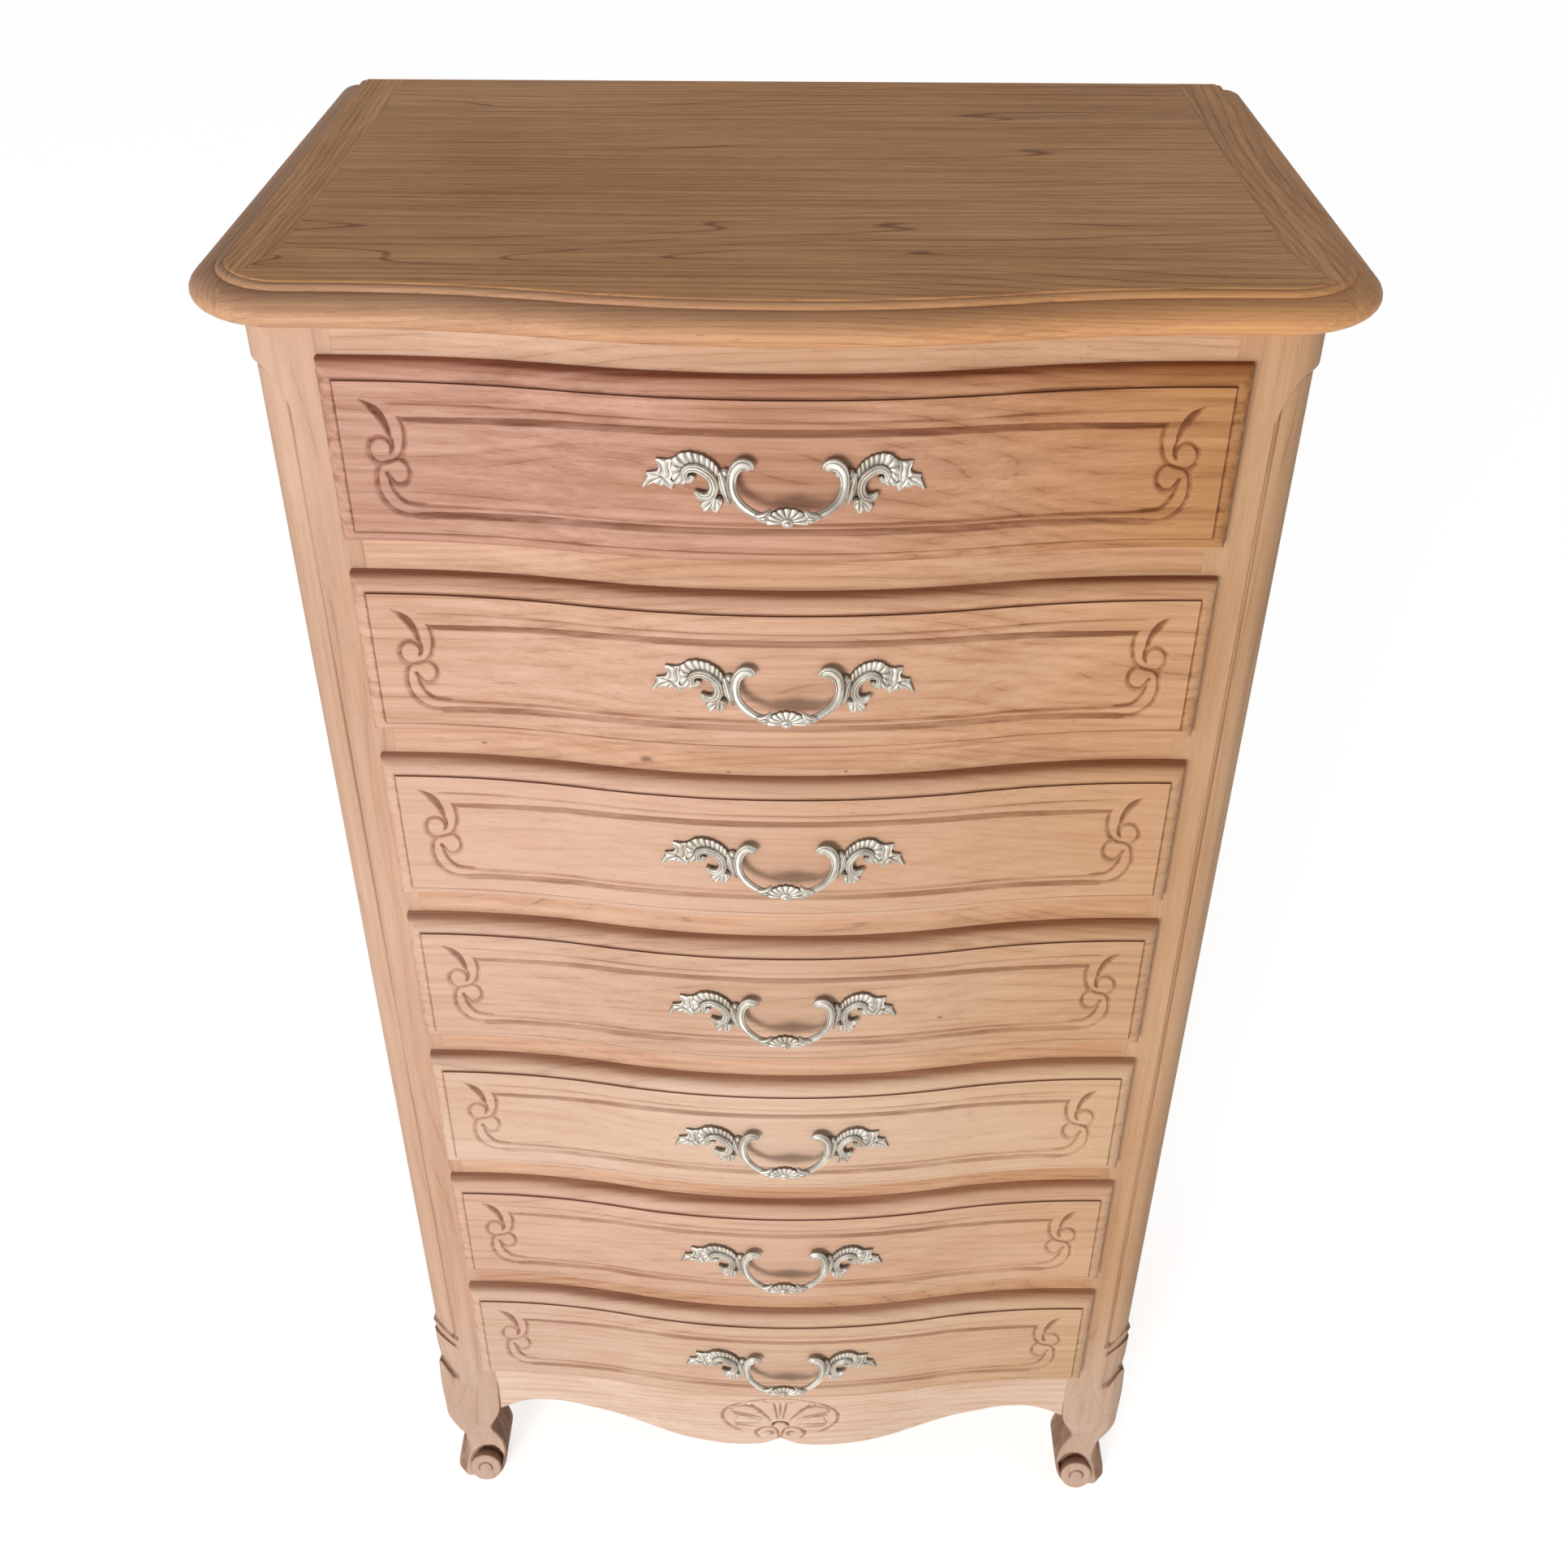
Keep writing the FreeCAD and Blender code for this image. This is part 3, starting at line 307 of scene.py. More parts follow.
# %% Pieces
def piece(name, sheets, body, finish, nodes=(), crease=35):
    """One object from several sheets: joined, seams merged, faces outward, smooth but for edges over `crease`."""
    starts = np.cumsum([0] + [len(part[0]) for part in sheets])
    points = np.concatenate([part[0] for part in sheets])
    faces = [face for part, start in zip(sheets, starts)
             for face in (part[1] + start).tolist() + [(cap + start).tolist() for cap in part[2]]]
    mesh = bpy.data.meshes.new(name)
    mesh.from_pydata(((points + [0, face_y, 0]) * MM).tolist(), [], faces)
    mesh.attributes.new("recess", "FLOAT", "POINT").data.foreach_set(
        "value", np.concatenate([part[3] for part in sheets]).astype(np.float32))
    net = bmesh.new()
    net.from_mesh(mesh)
    bmesh.ops.remove_doubles(net, verts=net.verts, dist=2e-6)
    bmesh.ops.recalc_face_normals(net, faces=net.faces)
    net.to_mesh(mesh)
    net.free()
    mesh.shade_smooth()
    mesh.set_sharp_from_angle(angle=radians(crease))
    return settle(name, mesh, body, finish, nodes)


def settle(name, mesh, body, finish, nodes):
    """Makes the object of a mesh, gives it its finish, lets it ride on its body and stand for its CAD nodes."""
    item = bpy.data.objects.new(name, mesh)
    bpy.context.scene.collection.objects.link(item)
    mesh.materials.append(finish)
    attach(item, body)
    if nodes:
        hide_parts(*nodes)
    return item


def one_per_drawer(first, kind, finishes, part):
    """The piece of the first drawer, and a copy of it for each other drawer, lower by one pitch each time."""
    made = [first]
    for step, finish in enumerate(finishes[1:], 1):
        mesh = first.data.copy()
        mesh.transform(Matrix.Translation((0, 0, -PITCH * step * MM)))
        mesh.materials.clear()
        drawer = f"drawer_{step + 1}"
        made.append(settle(f"{drawer}_{kind}", mesh, drawer, finish, [f"{drawer}_{part}"]))
    return made


DRAWERS, PITCH = len(front_woods), 146.0
print("drawers:", DRAWERS, "every", PITCH, "mm")

# %% [markdown]
# ## The bowed front line
# In plan the front swells by 23 mm: a convex arc in the middle runs into a concave arc at each side, and both
# have the same radius. Every drawer front, rail and the apron follows this line. A Curve modifier could bend flat
# boards to it, but a function gives the exact point at once, and the carving can be laid on it.

# %% The bow
BOW_RADIUS, BOW_HALF, BOW_SWELL = 740.53, 260.0, 23.0


def on_bow(s, proud, z):
    """Point `proud` mm out from the bowed line at s mm from the middle: two arcs of one radius, then straight."""
    s = np.asarray(s, float)
    side = np.abs(s)
    inside = side <= BOW_HALF / 2
    reach = np.where(inside, side, np.clip(BOW_HALF - side, 0, None))
    root = np.sqrt(BOW_RADIUS ** 2 - reach ** 2)
    y = np.where(inside, BOW_RADIUS - BOW_SWELL - root, root - BOW_RADIUS)
    return np.stack(np.broadcast_arrays(s + proud * np.sign(s) * reach / BOW_RADIUS,
                                        y - proud * root / BOW_RADIUS, z), -1)


print("bow at the middle, the turn and the post:", on_bow([0, 130, 265], 0, 0)[:, 1])

# %% [markdown]
# ## Carved drawer fronts
# A front is one board, lipped all round, with a thumbnail edge, a small step and a raised field. On the field a
# carver cut a frame: a flat strap that curls into two round eyes at each end, with a sloped groove beside it.
# Sculpting would do, but could not be measured. All of it is a height over the bowed line, so the whole face is
# one grid: the height at a point follows from its distance to the edge and from its distances to the strap's
# centre line. Grid lines lie close together where the carving is, and two of them lie together at the step.

# %% Distances to the strap: tables of place along the front, place down and half width
STEM = (
    (246.0, 23.9, 0.2), (241.4, 25.4, 1.2), (236.6, 27.6, 2.8), (232.9, 31.2, 3.5), (230.3, 36.8, 3.7),
    (229.4, 43, 3.75), (229.9, 49, 3.7), (231.6, 55, 3.4), (235.0, 59.4, 3.0))
CURL = (
    (236.5, 66.2, 3.4), (240.2, 69.2, 3.0), (241.3, 75.6, 3.1), (240.7, 81.2, 3.5), (238.6, 86.7, 3.7),
    (234.8, 91.5, 3.6), (229.8, 94.5, 3.2), (224.5, 95.1, 2.8), (219, 95.1, 2.2))
UPPER_HOOK = ((233.7, 47.6, 0.9), (233.4, 51.5, 1.0), (233.9, 55.0, 0.8), (235.0, 57.0, 0.2))
LOWER_HOOK = ((238.6, 71.0, 0.8), (236.8, 74.5, 1.0), (234.6, 77.2, 0.8), (232.0, 78.2, 0.3))
EYE_LINE = ((231.0, 61.0, 0.5), (235.5, 62.6, 0.6), (240.5, 63.8, 0.6))
SPIKE = (
    (249.6, 22.2, 0.15), (245.4, 25.0, 1.2), (241.2, 28.8, 2.6), (237.8, 33.6, 2.5), (235.6, 39.2, 1.8),
    (234.5, 44.6, 1.2), (234.1, 48.4, 0.5))
EYES = ((240.4, 55.4, 6.5, 7.7), (231.6, 69.4, 6.2, 7.6))


def gap_to(line, count, x, down):
    """Distance from each point to a line of discs: the least of its distances to the centres less their radii."""
    dots = flowing(line, count)
    return np.min(np.hypot(x[..., None] - dots[:, 0], down[..., None] - dots[:, 1]) - dots[:, 2], -1)


def eye(x, down, cx, cd, rx, rd):
    """Nearly the distance to an oval button: its scaled radius less 1, times the smaller half width."""
    return (np.hypot((x - cx) / rx, (down - cd) / rd) - 1) * min(rx, rd)


def share(gap, width):
    """1 at an edge and inside it, falling to 0 at `width` beyond it."""
    return np.clip(1 - np.clip(gap, 0, None) / width, 0, 1)


def fade(value, start, stop):
    """0 at start, 1 at stop, straight between them and level beyond them."""
    return np.clip((value - start) / (stop - start), 0, 1)


print("points on the strap's scrolls:", len(STEM) + len(CURL))

# %% The carving as a height and a value of old varnish and painted shade
SCROLL_FROM, STEM_CLEAR, FAR = 205, 31, 99.0
TOP_STRAP_HIGH, TOP_STRAP_MID, TOP_STRAP_END, LOW_STRAP_MID, LOW_STRAP_END = 25.0, 28, 236, 94, 224
TOP_STRAP_LOW = (0, 100, 140, 200, 226, 236), (29.2, 29.5, 30.2, 32.8, 33.4, 31.0)
BELOW_TOP_WIDE = (0, 140, 200, 230), (5.4, 5.1, 4.2, 3.2)
LOW_STRAP_HIGH = (0, 145, 208, 226), (92.0, 92.4, 93.4, 92.4)
LOW_STRAP_LOW = (0, 145, 208, 226), (94.7, 95.0, 96.6, 97.6)
ROUND_EYES_WIDE, ABOVE_TOP_WIDE, BELOW_LOW_WIDE, ABOVE_LOW_WIDE, HOOK_WIDE = 3.6, 2.2, 5.2, 3.0, 0.9
ROUND_EYES_DEEP, BELOW_TOP_DEEP, ABOVE_TOP_DEEP, BELOW_LOW_DEEP, ABOVE_LOW_DEEP = 2.3, 2.3, 1.1, 2.0, 1.5
SPIKE_DEEP, HOOK_DEEP, WORN_DEEP, WORN_WIDE, EDGE_HALF = 2.6, 1.7, 0.55, 1.1, 0.45


def carving(s, down):
    """Height of the carving on the field and the old varnish and painted shade in it, at s along the front and `down`
    from the lip's top.
    Strap and scrolls stay level, with worn edges. The ground beside them is deepest at their edge and rises straight
    to the field. Hooks and spikes are cuts of their own, and the deepest cut at a point counts."""
    x = np.abs(s)
    top_low, top_wide, low_high, low_low = (np.interp(x, *table) for table in (
        TOP_STRAP_LOW, BELOW_TOP_WIDE, LOW_STRAP_HIGH, LOW_STRAP_LOW))
    top_band = np.maximum(np.maximum(TOP_STRAP_HIGH - down, down - top_low), x - TOP_STRAP_END)
    low_band = np.maximum(np.maximum(low_high - down, down - low_low), x - LOW_STRAP_END)
    near = x[0] > SCROLL_FROM
    xe, de = x[:, near], down[:, near]
    scroll, beside, cuts, spike = (np.full_like(x, FAR) for _ in range(4))
    buttons = [gap_to(CURL, 70, xe, de)] + [eye(xe, de, *size) for size in EYES]
    scroll[:, near] = np.minimum.reduce([gap_to(STEM, 60, xe, de), *buttons])
    beside[:, near] = np.minimum.reduce([gap_to(STEM[3:], 50, xe, de), *buttons])
    beside = np.where(down < STEM_CLEAR, np.maximum(beside, (STEM_CLEAR - down) * 1.2), beside)
    cuts[:, near] = np.minimum.reduce([gap_to(hook, 40, xe, de) for hook in (UPPER_HOOK, LOWER_HOOK, EYE_LINE)])
    spike[:, near] = gap_to(SPIKE, 50, xe, de)
    solid = np.minimum.reduce([scroll, top_band, low_band])
    edge = fade(solid, -EDGE_HALF, EDGE_HALF)
    round_it, top_ends, low_ends = share(beside, ROUND_EYES_WIDE), fade(x, 238, 231), fade(x, 228, 220)
    below_top = share(top_band, top_wide) * (down > TOP_STRAP_MID) * top_ends
    above_top = share(top_band, ABOVE_TOP_WIDE) * (down < TOP_STRAP_MID) * top_ends
    below_low = share(low_band, BELOW_LOW_WIDE) * (down > LOW_STRAP_MID) * low_ends
    above_low = share(low_band, ABOVE_LOW_WIDE) * (down < LOW_STRAP_MID) * low_ends
    point = np.clip(0.3 - spike / 1.6, 0, 1)
    hook = share(cuts, HOOK_WIDE) * fade(scroll, 0.8, 0.0)
    cut = edge * np.maximum.reduce([ROUND_EYES_DEEP * round_it, BELOW_TOP_DEEP * below_top,
                                    BELOW_LOW_DEEP * below_low, ABOVE_TOP_DEEP * above_top,
                                    ABOVE_LOW_DEEP * above_low])
    worn = WORN_DEEP * (1 - edge) * np.clip(1 + solid / WORN_WIDE, 0, 1) ** 2
    # Old varnish and painted shade in the cuts, on the slopes beside strap and eyes, in the hooks and the spikes.
    soil_and_shade = edge * np.maximum.reduce([0.36 * np.clip(4 * round_it, 0, 1) + 0.52 * round_it ** 2,
                                     0.7 * np.clip(6 * below_top, 0, 1) + 0.15 * below_top ** 3,
                                     0.64 * np.clip(6 * below_low, 0, 1), 0.8 * above_top, 0.72 * above_low])
    return (-np.maximum.reduce([cut + worn, SPIKE_DEEP * point, HOOK_DEEP * hook]),
            np.maximum.reduce([soil_and_shade, 0.9 * point, 0.88 * hook]))


print("deepest cuts:", SPIKE_DEEP, ROUND_EYES_DEEP, BELOW_TOP_DEEP, "mm")

# %% The face of a drawer as a grid of heights
LIP_HALF, LIP_HEIGHT, LIP_TOP = 275.0, 122.0, 1182.0
LIP_BACK, LIP_EDGE, FIELD, MARGIN, STEP = 0.3, 4.0, 14.0, 10.5, 1.1
BLOCK_HALF, BLOCK_LOW, BLOCK_HIGH, BLOCK_BACK = 264.0, 9.0, 113.0, 10.0


def graded(half_gap, dense, dense_step, open_step):
    """Grid places across a half: close at the thumbnail edge, paired at the step, dense, then open."""
    edge = np.array([0, 0, 0.12, 0.45, 1.0, 1.8, 2.9, 4.3, 6.0, 8.0, MARGIN - 0.12, MARGIN + 0.12])
    carved = np.arange(MARGIN + dense_step, dense, dense_step)
    rest = np.linspace(carved[-1], half_gap, int((half_gap - carved[-1]) / open_step) + 2)[1:]
    return np.concatenate([edge, carved, rest])


def drawer_face(s, down):
    """Height over the bow: a quarter ellipse across the margin, a step up to the field, then the carving."""
    inward = np.minimum(np.minimum(LIP_HALF - np.abs(s), down), LIP_HEIGHT - down)
    ellipse = np.sqrt(np.clip(1 - (1 - np.clip(inward / MARGIN, 0, 1)) ** 2, 0, 1))
    cut, cut_soil_and_shade = carving(s, down)
    height = np.where(inward > MARGIN, FIELD + cut, LIP_EDGE + (FIELD - STEP - LIP_EDGE) * ellipse)
    height[[0, -1]] = height[:, [0, -1]] = LIP_BACK
    # Painted shade: a dark line at the step, shade down from the lip's top with a little old varnish, a shadow line at
    # its top edge under the rail, and shade at the lip's ends.
    step_shade = np.where(np.abs(inward - MARGIN) < 0.2, 0.95, 0.4 * np.exp(-np.abs(inward - MARGIN) / 0.9))
    lip_shade_and_soil = np.maximum(0.5 * np.exp(-down / 3.4) + 0.24 * np.exp(-(down / 1.1) ** 2),
                          0.46 * np.exp(-(LIP_HALF - np.abs(s)) / 4.5))
    return height, np.clip(np.maximum.reduce([cut_soil_and_shade * (inward > MARGIN), step_shade, lip_shade_and_soil]), 0, 1)


from_end = graded(LIP_HALF, dense=66.0, dense_step=0.55, open_step=3.0)
across = np.concatenate([from_end[:-1] - LIP_HALF, LIP_HALF - from_end[::-1]])
from_top = graded(LIP_HEIGHT / 2, dense=LIP_HEIGHT / 2, dense_step=0.62, open_step=0.62)
downward = np.concatenate([from_top[:-1], LIP_HEIGHT - from_top[::-1]])
grid_s, grid_down = np.meshgrid(across, downward)
heights, soil_and_shade = drawer_face(grid_s, grid_down)
print("grid of", grid_s.shape, "points, heights from", round(heights.min(), 2), "to", round(heights.max(), 2))

# %% Seven fronts, each with the block behind its lip
face = on_bow(grid_s, heights, LIP_TOP - grid_down)
rim, rim_soil_and_shade = (np.concatenate([grid[0, :-1], grid[:-1, -1], grid[-1, :0:-1], grid[:0:-1, 0]])
                 for grid in (face, soil_and_shade))
block = np.stack([np.clip(rim[:, 0], -BLOCK_HALF, BLOCK_HALF), rim[:, 1],
                  np.clip(rim[:, 2], LIP_TOP - BLOCK_HIGH, LIP_TOP - BLOCK_LOW)], -1)
block_end = block * [1, 0, 1] + [0, BLOCK_BACK, 0]
back = sheet(np.stack([rim, block, block_end]), np.stack([rim_soil_and_shade, 0 * rim_soil_and_shade, 0 * rim_soil_and_shade]), ring=True)
back[2].append(np.arange(2 * len(rim), 3 * len(rim)))
first_face = piece("drawer_1_face", [sheet(face, soil_and_shade), back], "drawer_1", front_woods[0],
                   ["drawer_1_front"])
fronts = one_per_drawer(first_face, "face", front_woods, "front")
print("drawer faces:", len(fronts), "with", len(fronts[0].data.polygons), "faces each")

# %% [markdown]
# ## Cast handles
# The handles are old castings of a pale yellow-grey metal: a spray of leaves and scrolls at each end and a bail
# between them, with a half flower in its middle. Bevelled curves could stand for the scrolls, but not for their
# grooves. So a scroll, a stem or the bail is an outline carried along a smooth line, and its width and height
# change on the way. A leaf is a flat sheet with cuts, a frill is a sheet raised in flutes, and nails are round
# buttons. Hollows are dark with patina, walls, flanks and undersides dark with painted shade, and worn ridges
# bright, so every sheet keeps a value of patina and painted shade, low on its ridges.

# %% The metal and the steel of the screws
def cast_metal_finish():
    """Aged cast metal: bright worn ridges, brown-black patina in the hollows and painted shade on walls and
    undersides, both from the mesh attribute, and patches of tarnish.
    """
    made = Finish("cast_metal")
    place = made.place()
    cloud = made.noise(place, 70.0, 4.0, 0.6)
    grit = made.noise(place, 900.0, 2.0, 0.6)
    # Patina in the hollows and painted shade on walls and undersides darken the metal.
    dark = made.rise(made.recess() + (cloud - 0.5) * 0.5 + (grit - 0.5) * 0.3, 0.28, 0.85)
    tone = made.blend(made.rise(cloud, 0.35, 0.7), linear(214, 208, 197), linear(178, 168, 153))
    tone = made.blend(dark * 0.72, tone, linear(84, 64, 46))
    bump = made.node("Bump", None, {"Strength": 0.35, "Distance": 0.0004, "Height": cloud * 0.7 + grit * 0.4})
    return made.surface({"Base Color": tone, "Metallic": 0.62 - dark * 0.4,
                         "Roughness": 0.44 + dark * 0.3 + (grit - 0.5) * 0.2, "Normal": bump})


def screw_steel_finish():
    """Dull screw steel with fine turning marks and a little rust."""
    made = Finish("screw_steel")
    place = made.place()
    rust = made.rise(made.noise(place, 260.0, 4.0, 0.65), 0.52, 0.7)
    grit = made.noise(place, 1500.0, 2.0)
    tone = made.blend(rust * 0.6, linear(150, 148, 144), linear(116, 78, 52))
    bump = made.node("Bump", None, {"Strength": 0.2, "Distance": 0.0003, "Height": grit})
    return made.surface({"Base Color": tone, "Metallic": 0.9 - rust * 0.6, "Roughness": 0.4 + rust * 0.3,
                         "Normal": bump})


cast_metal, screw_steel = cast_metal_finish(), screw_steel_finish()
print("metals made:", cast_metal.name, screw_steel.name)

# %% Ribs and bosses, in x, z and distance from the drawer's field
def cross(grooves=(), flat=1.0, below=-0.4):
    """Outline across a rib, over the top and back `below`: places, heights, darkness; a flat oval with grooves. The
    darkness is patina in the grooves and painted shade down the flanks and on the underside.
    """
    over, under = -np.cos(np.linspace(0, pi, 31)), np.linspace(1, -1, 8)[1:-1]
    top = np.sqrt(1 - np.abs(over) ** (2 * flat))
    cut = sum((0.7 * np.exp(-((over - place) / 0.11) ** 2) for place in grooves), 0 * over)
    return (np.concatenate([over, under]), np.concatenate([top - 0.5 * cut, 0 * under + below]),
            np.concatenate([np.clip(0.9 - 1.25 * top, 0, 1) + cut, 0 * under + 1]))


def rib(line, count, outline):
    """Rows of x, z, out, half width, height: the outline set across a smooth line, closed to a point at both ends."""
    place, lift, dark = outline
    rows = flowing(line, count)
    rows[[0, -1], 3:] *= 0.02
    run = np.gradient(rows[:, :3], axis=0)
    run /= np.linalg.norm(run, axis=1)[:, None]
    side = np.cross(run, [0, 0, 1.0])
    side /= np.linalg.norm(side, axis=1)[:, None]
    rise = np.cross(side, run)
    ring = side[:, None] * place[None, :, None] * rows[:, None, 3:4] \
        + rise[:, None] * lift[None, :, None] * rows[:, None, 4:5] + rows[:, None, :3]
    return sheet(ring, np.clip(dark, 0, 1)[None, :] * np.ones((count, 1)), ring=True)


def boss(x, z, out, radius, height, sides=14, rows=7):
    """Round button: the upper part of an oval ball, a ring per level, closed at its top and foot."""
    level = np.linspace(-0.35, 1, rows) * pi / 2
    turn = np.linspace(0, 2 * pi, sides, endpoint=False)
    wide = np.where(np.arange(rows) == rows - 1, 0, np.cos(level))[:, None]
    ball = np.stack([x + radius * wide * np.cos(turn), z + radius * wide * np.sin(turn),
                     out + height * np.sin(level)[:, None] + 0 * turn], -1)
    # Painted shade and patina at the button's foot.
    made = sheet(ball, np.clip(0.8 - np.sin(level), 0, 1)[:, None], ring=True)
    made[2].append(np.arange(sides))
    return made


def lobe(root, tip, width, height, out, bend):
    """Leaf lobe: a rib from root to tip that swells in its middle, with a groove along its back."""
    root, tip = np.array(root, float), np.array(tip, float)
    turn = np.array([-(tip - root)[1], (tip - root)[0]]) * bend
    line = [(*(root + (tip - root) * t + turn * sin(pi * t)), out + 0.6 * sin(pi * t), width * w, height * h)
            for t, w, h in ((0, 0.55, 0.8), (0.25, 0.95, 1), (0.5, 1, 1), (0.75, 0.72, 0.85), (1, 0.16, 0.4))]
    return rib(line, 16, cross((0.0,), 1.3))


print("points round a rib:", len(cross()[0]))

# %% Leaves and frills
LEAF_HEIGHT = 3.2


def leaf(centre, outline, veins, height=LEAF_HEIGHT, rings=16):
    """Flat leaf: rings from its outline to its centre, a rounded edge on a wall dark with painted shade, and cuts
    along the veins dark with patina.
    """
    edge = np.array(list(outline) + [outline[0]], float)
    corner = np.arange(len(edge))
    place = np.linspace(0, len(edge) - 1, 5 * (len(edge) - 1) + 1)[:-1]
    edge = np.column_stack([np.interp(place, corner, edge[:, k]) for k in (0, 1)])
    size = np.linspace(1, 0, rings)[:, None]
    flat = centre + (edge - centre)[None] * size[..., None]
    gap = np.clip(np.min([gap_to(vein, 40, flat[..., 0], flat[..., 1]) for vein in veins], 0), 0, None)
    cut, swell = np.exp(-(gap / 0.4) ** 2), 1 - np.exp(-(gap / 1.5) ** 2)
    lift = height * (0.72 + 0.2 * np.sqrt(1 - size ** 4)) + (1.1 * swell - 0.2) * (1 - size ** 6)
    foot = np.dstack([np.repeat(flat[:1], 2, 0), np.broadcast_to([[-0.6], [0.7 * height]], (2, len(edge)))])
    dark = np.maximum(0.9 * cut, 0.45 * size ** 12)
    return sheet(np.concatenate([foot, np.dstack([flat, lift])]),
                 np.concatenate([np.ones((2, len(edge))), dark]), ring=True)


def fluted_fan(outer, inner, flutes, out=3.0, count=150, bulge=1.4, depth=10, foot=3.6):
    """Frill between an inner and an outer line, scalloped outside: straight lines between them, raised in flutes."""
    beat = np.abs(np.sin(pi * flutes * np.linspace(0, 1, count)))
    outer, inner = flowing(outer, count), flowing(inner, count)
    away = outer - inner
    outer = outer + away / np.linalg.norm(away, axis=1)[:, None] * (0.9 * np.sqrt(beat) - 0.6)[:, None]
    part = np.linspace(0, 1, depth)
    flat = inner[:, None] + (outer - inner)[:, None] * part[None, :, None]
    lift = out + bulge * (beat ** 0.5)[:, None] * np.sin(pi * (0.1 + 0.75 * part))[None, :]
    # Patina and painted shade between the flutes and towards the rim, painted shade on the wall below.
    dark = np.clip(0.95 - 2.4 * beat[:, None] * (0.35 + part[None, :] ** 0.7) + 0.35 * part[None, :] ** 12, 0.05, 1)
    wall_out = np.broadcast_to([out - 0.4, out - foot, out - foot, out - 0.4], (count, 4))
    wall = np.dstack([flat[:, [-1, -1, 0, 0]], wall_out])
    return sheet(np.concatenate([np.dstack([flat, lift]), wall], 1),
                 np.concatenate([dark, np.ones((count, 4))], 1), ring=True, capped=True)


print("leaves stand", LEAF_HEIGHT, "mm off the field")

# %% One spray of leaves and scrolls: tables in x and z from the handle's middle
FRILL_OUTER = (
    (52.4, -0.4), (55.6, -2.1), (59.3, -2.8), (63.0, -2.0), (64.2, 3.1), (64.4, 8.2), (63.0, 13.8), (58.7, 17.1),
    (54.1, 18.0), (50.5, 17.4), (46.9, 16.5), (43.8, 14.6), (41.1, 12.7), (38.9, 10.2), (36.7, 6.8), (34.6, 4.8))
FRILL_INNER = (
    (53.7, 1.7), (55.6, 0.8), (57.6, 1.0), (59.0, 3.0), (59.6, 5.4), (59.0, 7.4), (57.6, 9.4), (55.4, 10.9),
    (52.6, 11.6), (50.0, 11.5), (47.4, 10.7), (44.8, 9.2), (42.4, 7.2), (40.2, 5.0), (38.0, 2.4), (35.6, -0.6))
SCROLL_RIB = (  # x, z, out, half width, height
    (52.4, 3.4, 2.9, 1.6, 1.8), (53.4, 1.2, 3.1, 2.0, 2.2), (55.9, 0.9, 3.2, 2.2, 2.4),
    (57.2, 3.7, 3.2, 2.3, 2.4), (55.7, 7.0, 3.2, 2.6, 2.4), (51.5, 8.4, 3.2, 3.0, 2.4),
    (47.1, 7.0, 3.3, 3.0, 2.5), (42.8, 3.6, 3.4, 3.0, 2.5), (40.6, -0.4, 3.5, 3.0, 2.6),
    (40.2, -4.8, 3.5, 3.1, 2.6), (41.7, -8.6, 3.4, 3.1, 2.5), (44.4, -10.4, 3.2, 3.0, 2.4),
    (47.6, -10.2, 3.1, 2.8, 2.3), (49.6, -8.4, 2.9, 2.4, 2.2), (49.4, -7.0, 2.9, 1.7, 1.8))
STEM_RIB = (
    (36.6, 6.4, 2.9, 1.5, 1.8), (35.6, 3.0, 3.2, 2.3, 2.2), (34.6, -0.8, 3.5, 3.0, 2.4),
    (33.7, -5.2, 3.6, 3.0, 2.4), (32.6, -9.8, 3.5, 2.0, 2.2), (31.2, -15.2, 2.9, 1.0, 1.6))
OUTER_LEAF = (
    (82.7, -7.4), (80.6, -2.0), (79.0, 1.5), (79.4, 3.4), (75.7, 4.1), (72.9, 5.3), (71.9, 7.6), (73.6, 12.6),
    (70.7, 12.7), (67.1, 12.3), (63.4, 13.6), (64.5, 7.9), (63.6, 3.9), (64.8, -0.3), (62.2, -2.5), (65.0, -7.5),
    (67.3, -5.6), (68.6, -4.4), (71.9, -5.3), (73.3, -4.1), (76.0, -3.6), (78.9, -5.2))
OUTER_VEINS = (
    ((80.5, -5.6, 0), (76.5, -2.0, 0.15), (72.4, 0.2, 0.1)),
    ((78.0, 2.6, 0), (75.0, 2.2, 0.15), (72.2, 1.2, 0.1)), ((72.6, 11.4, 0), (70.6, 8.0, 0.15), (70.4, 3.8, 0.1)),
    ((65.6, -5.8, 0), (67.6, -2.4, 0.15), (69.2, 0.0, 0.1)),
    ((66.2, 11.6, 0), (66.8, 7.4, 0.15), (66.0, 3.6, 0.15), (66.6, 0.6, 0.1)),
    ((72.4, -4.4, 0), (71.4, -2.0, 0.1)))
LOWER_LEAF = (
    (47.7, -14.4), (48.7, -17.1), (46.5, -21.4), (44.6, -19.9), (42.4, -18.8), (41.0, -21.3), (39.1, -21.9),
    (37.0, -18.8), (35.6, -15.6), (35.4, -12.4), (36.8, -10.6), (40.2, -10.6), (44.0, -12.6))
LOWER_VEINS = (
    ((47.2, -19.6, 0), (44.4, -16.8, 0.15), (42.0, -14.2, 0.1)), ((43.0, -18.6, 0.1), (41.6, -15.6, 0.1)),
    ((39.8, -20.6, 0), (39.8, -17.2, 0.15), (39.4, -14.4, 0.1)), ((36.6, -16.4, 0), (38.2, -14.4, 0.1)))
# Nails as x, z, out, radius, height. The second one and the lone seat cover the ends of the two screws.
NAILS = ((71.0, 0.8, 3.3, 1.5, 1.8), (33.8, 5.0, 1.6, 3.1, 2.7), (38.0, -12.4, 3.5, 1.7, 1.9))
SCREW_SEAT = (27.0, 5.0, 1.6, 3.1, 2.7)


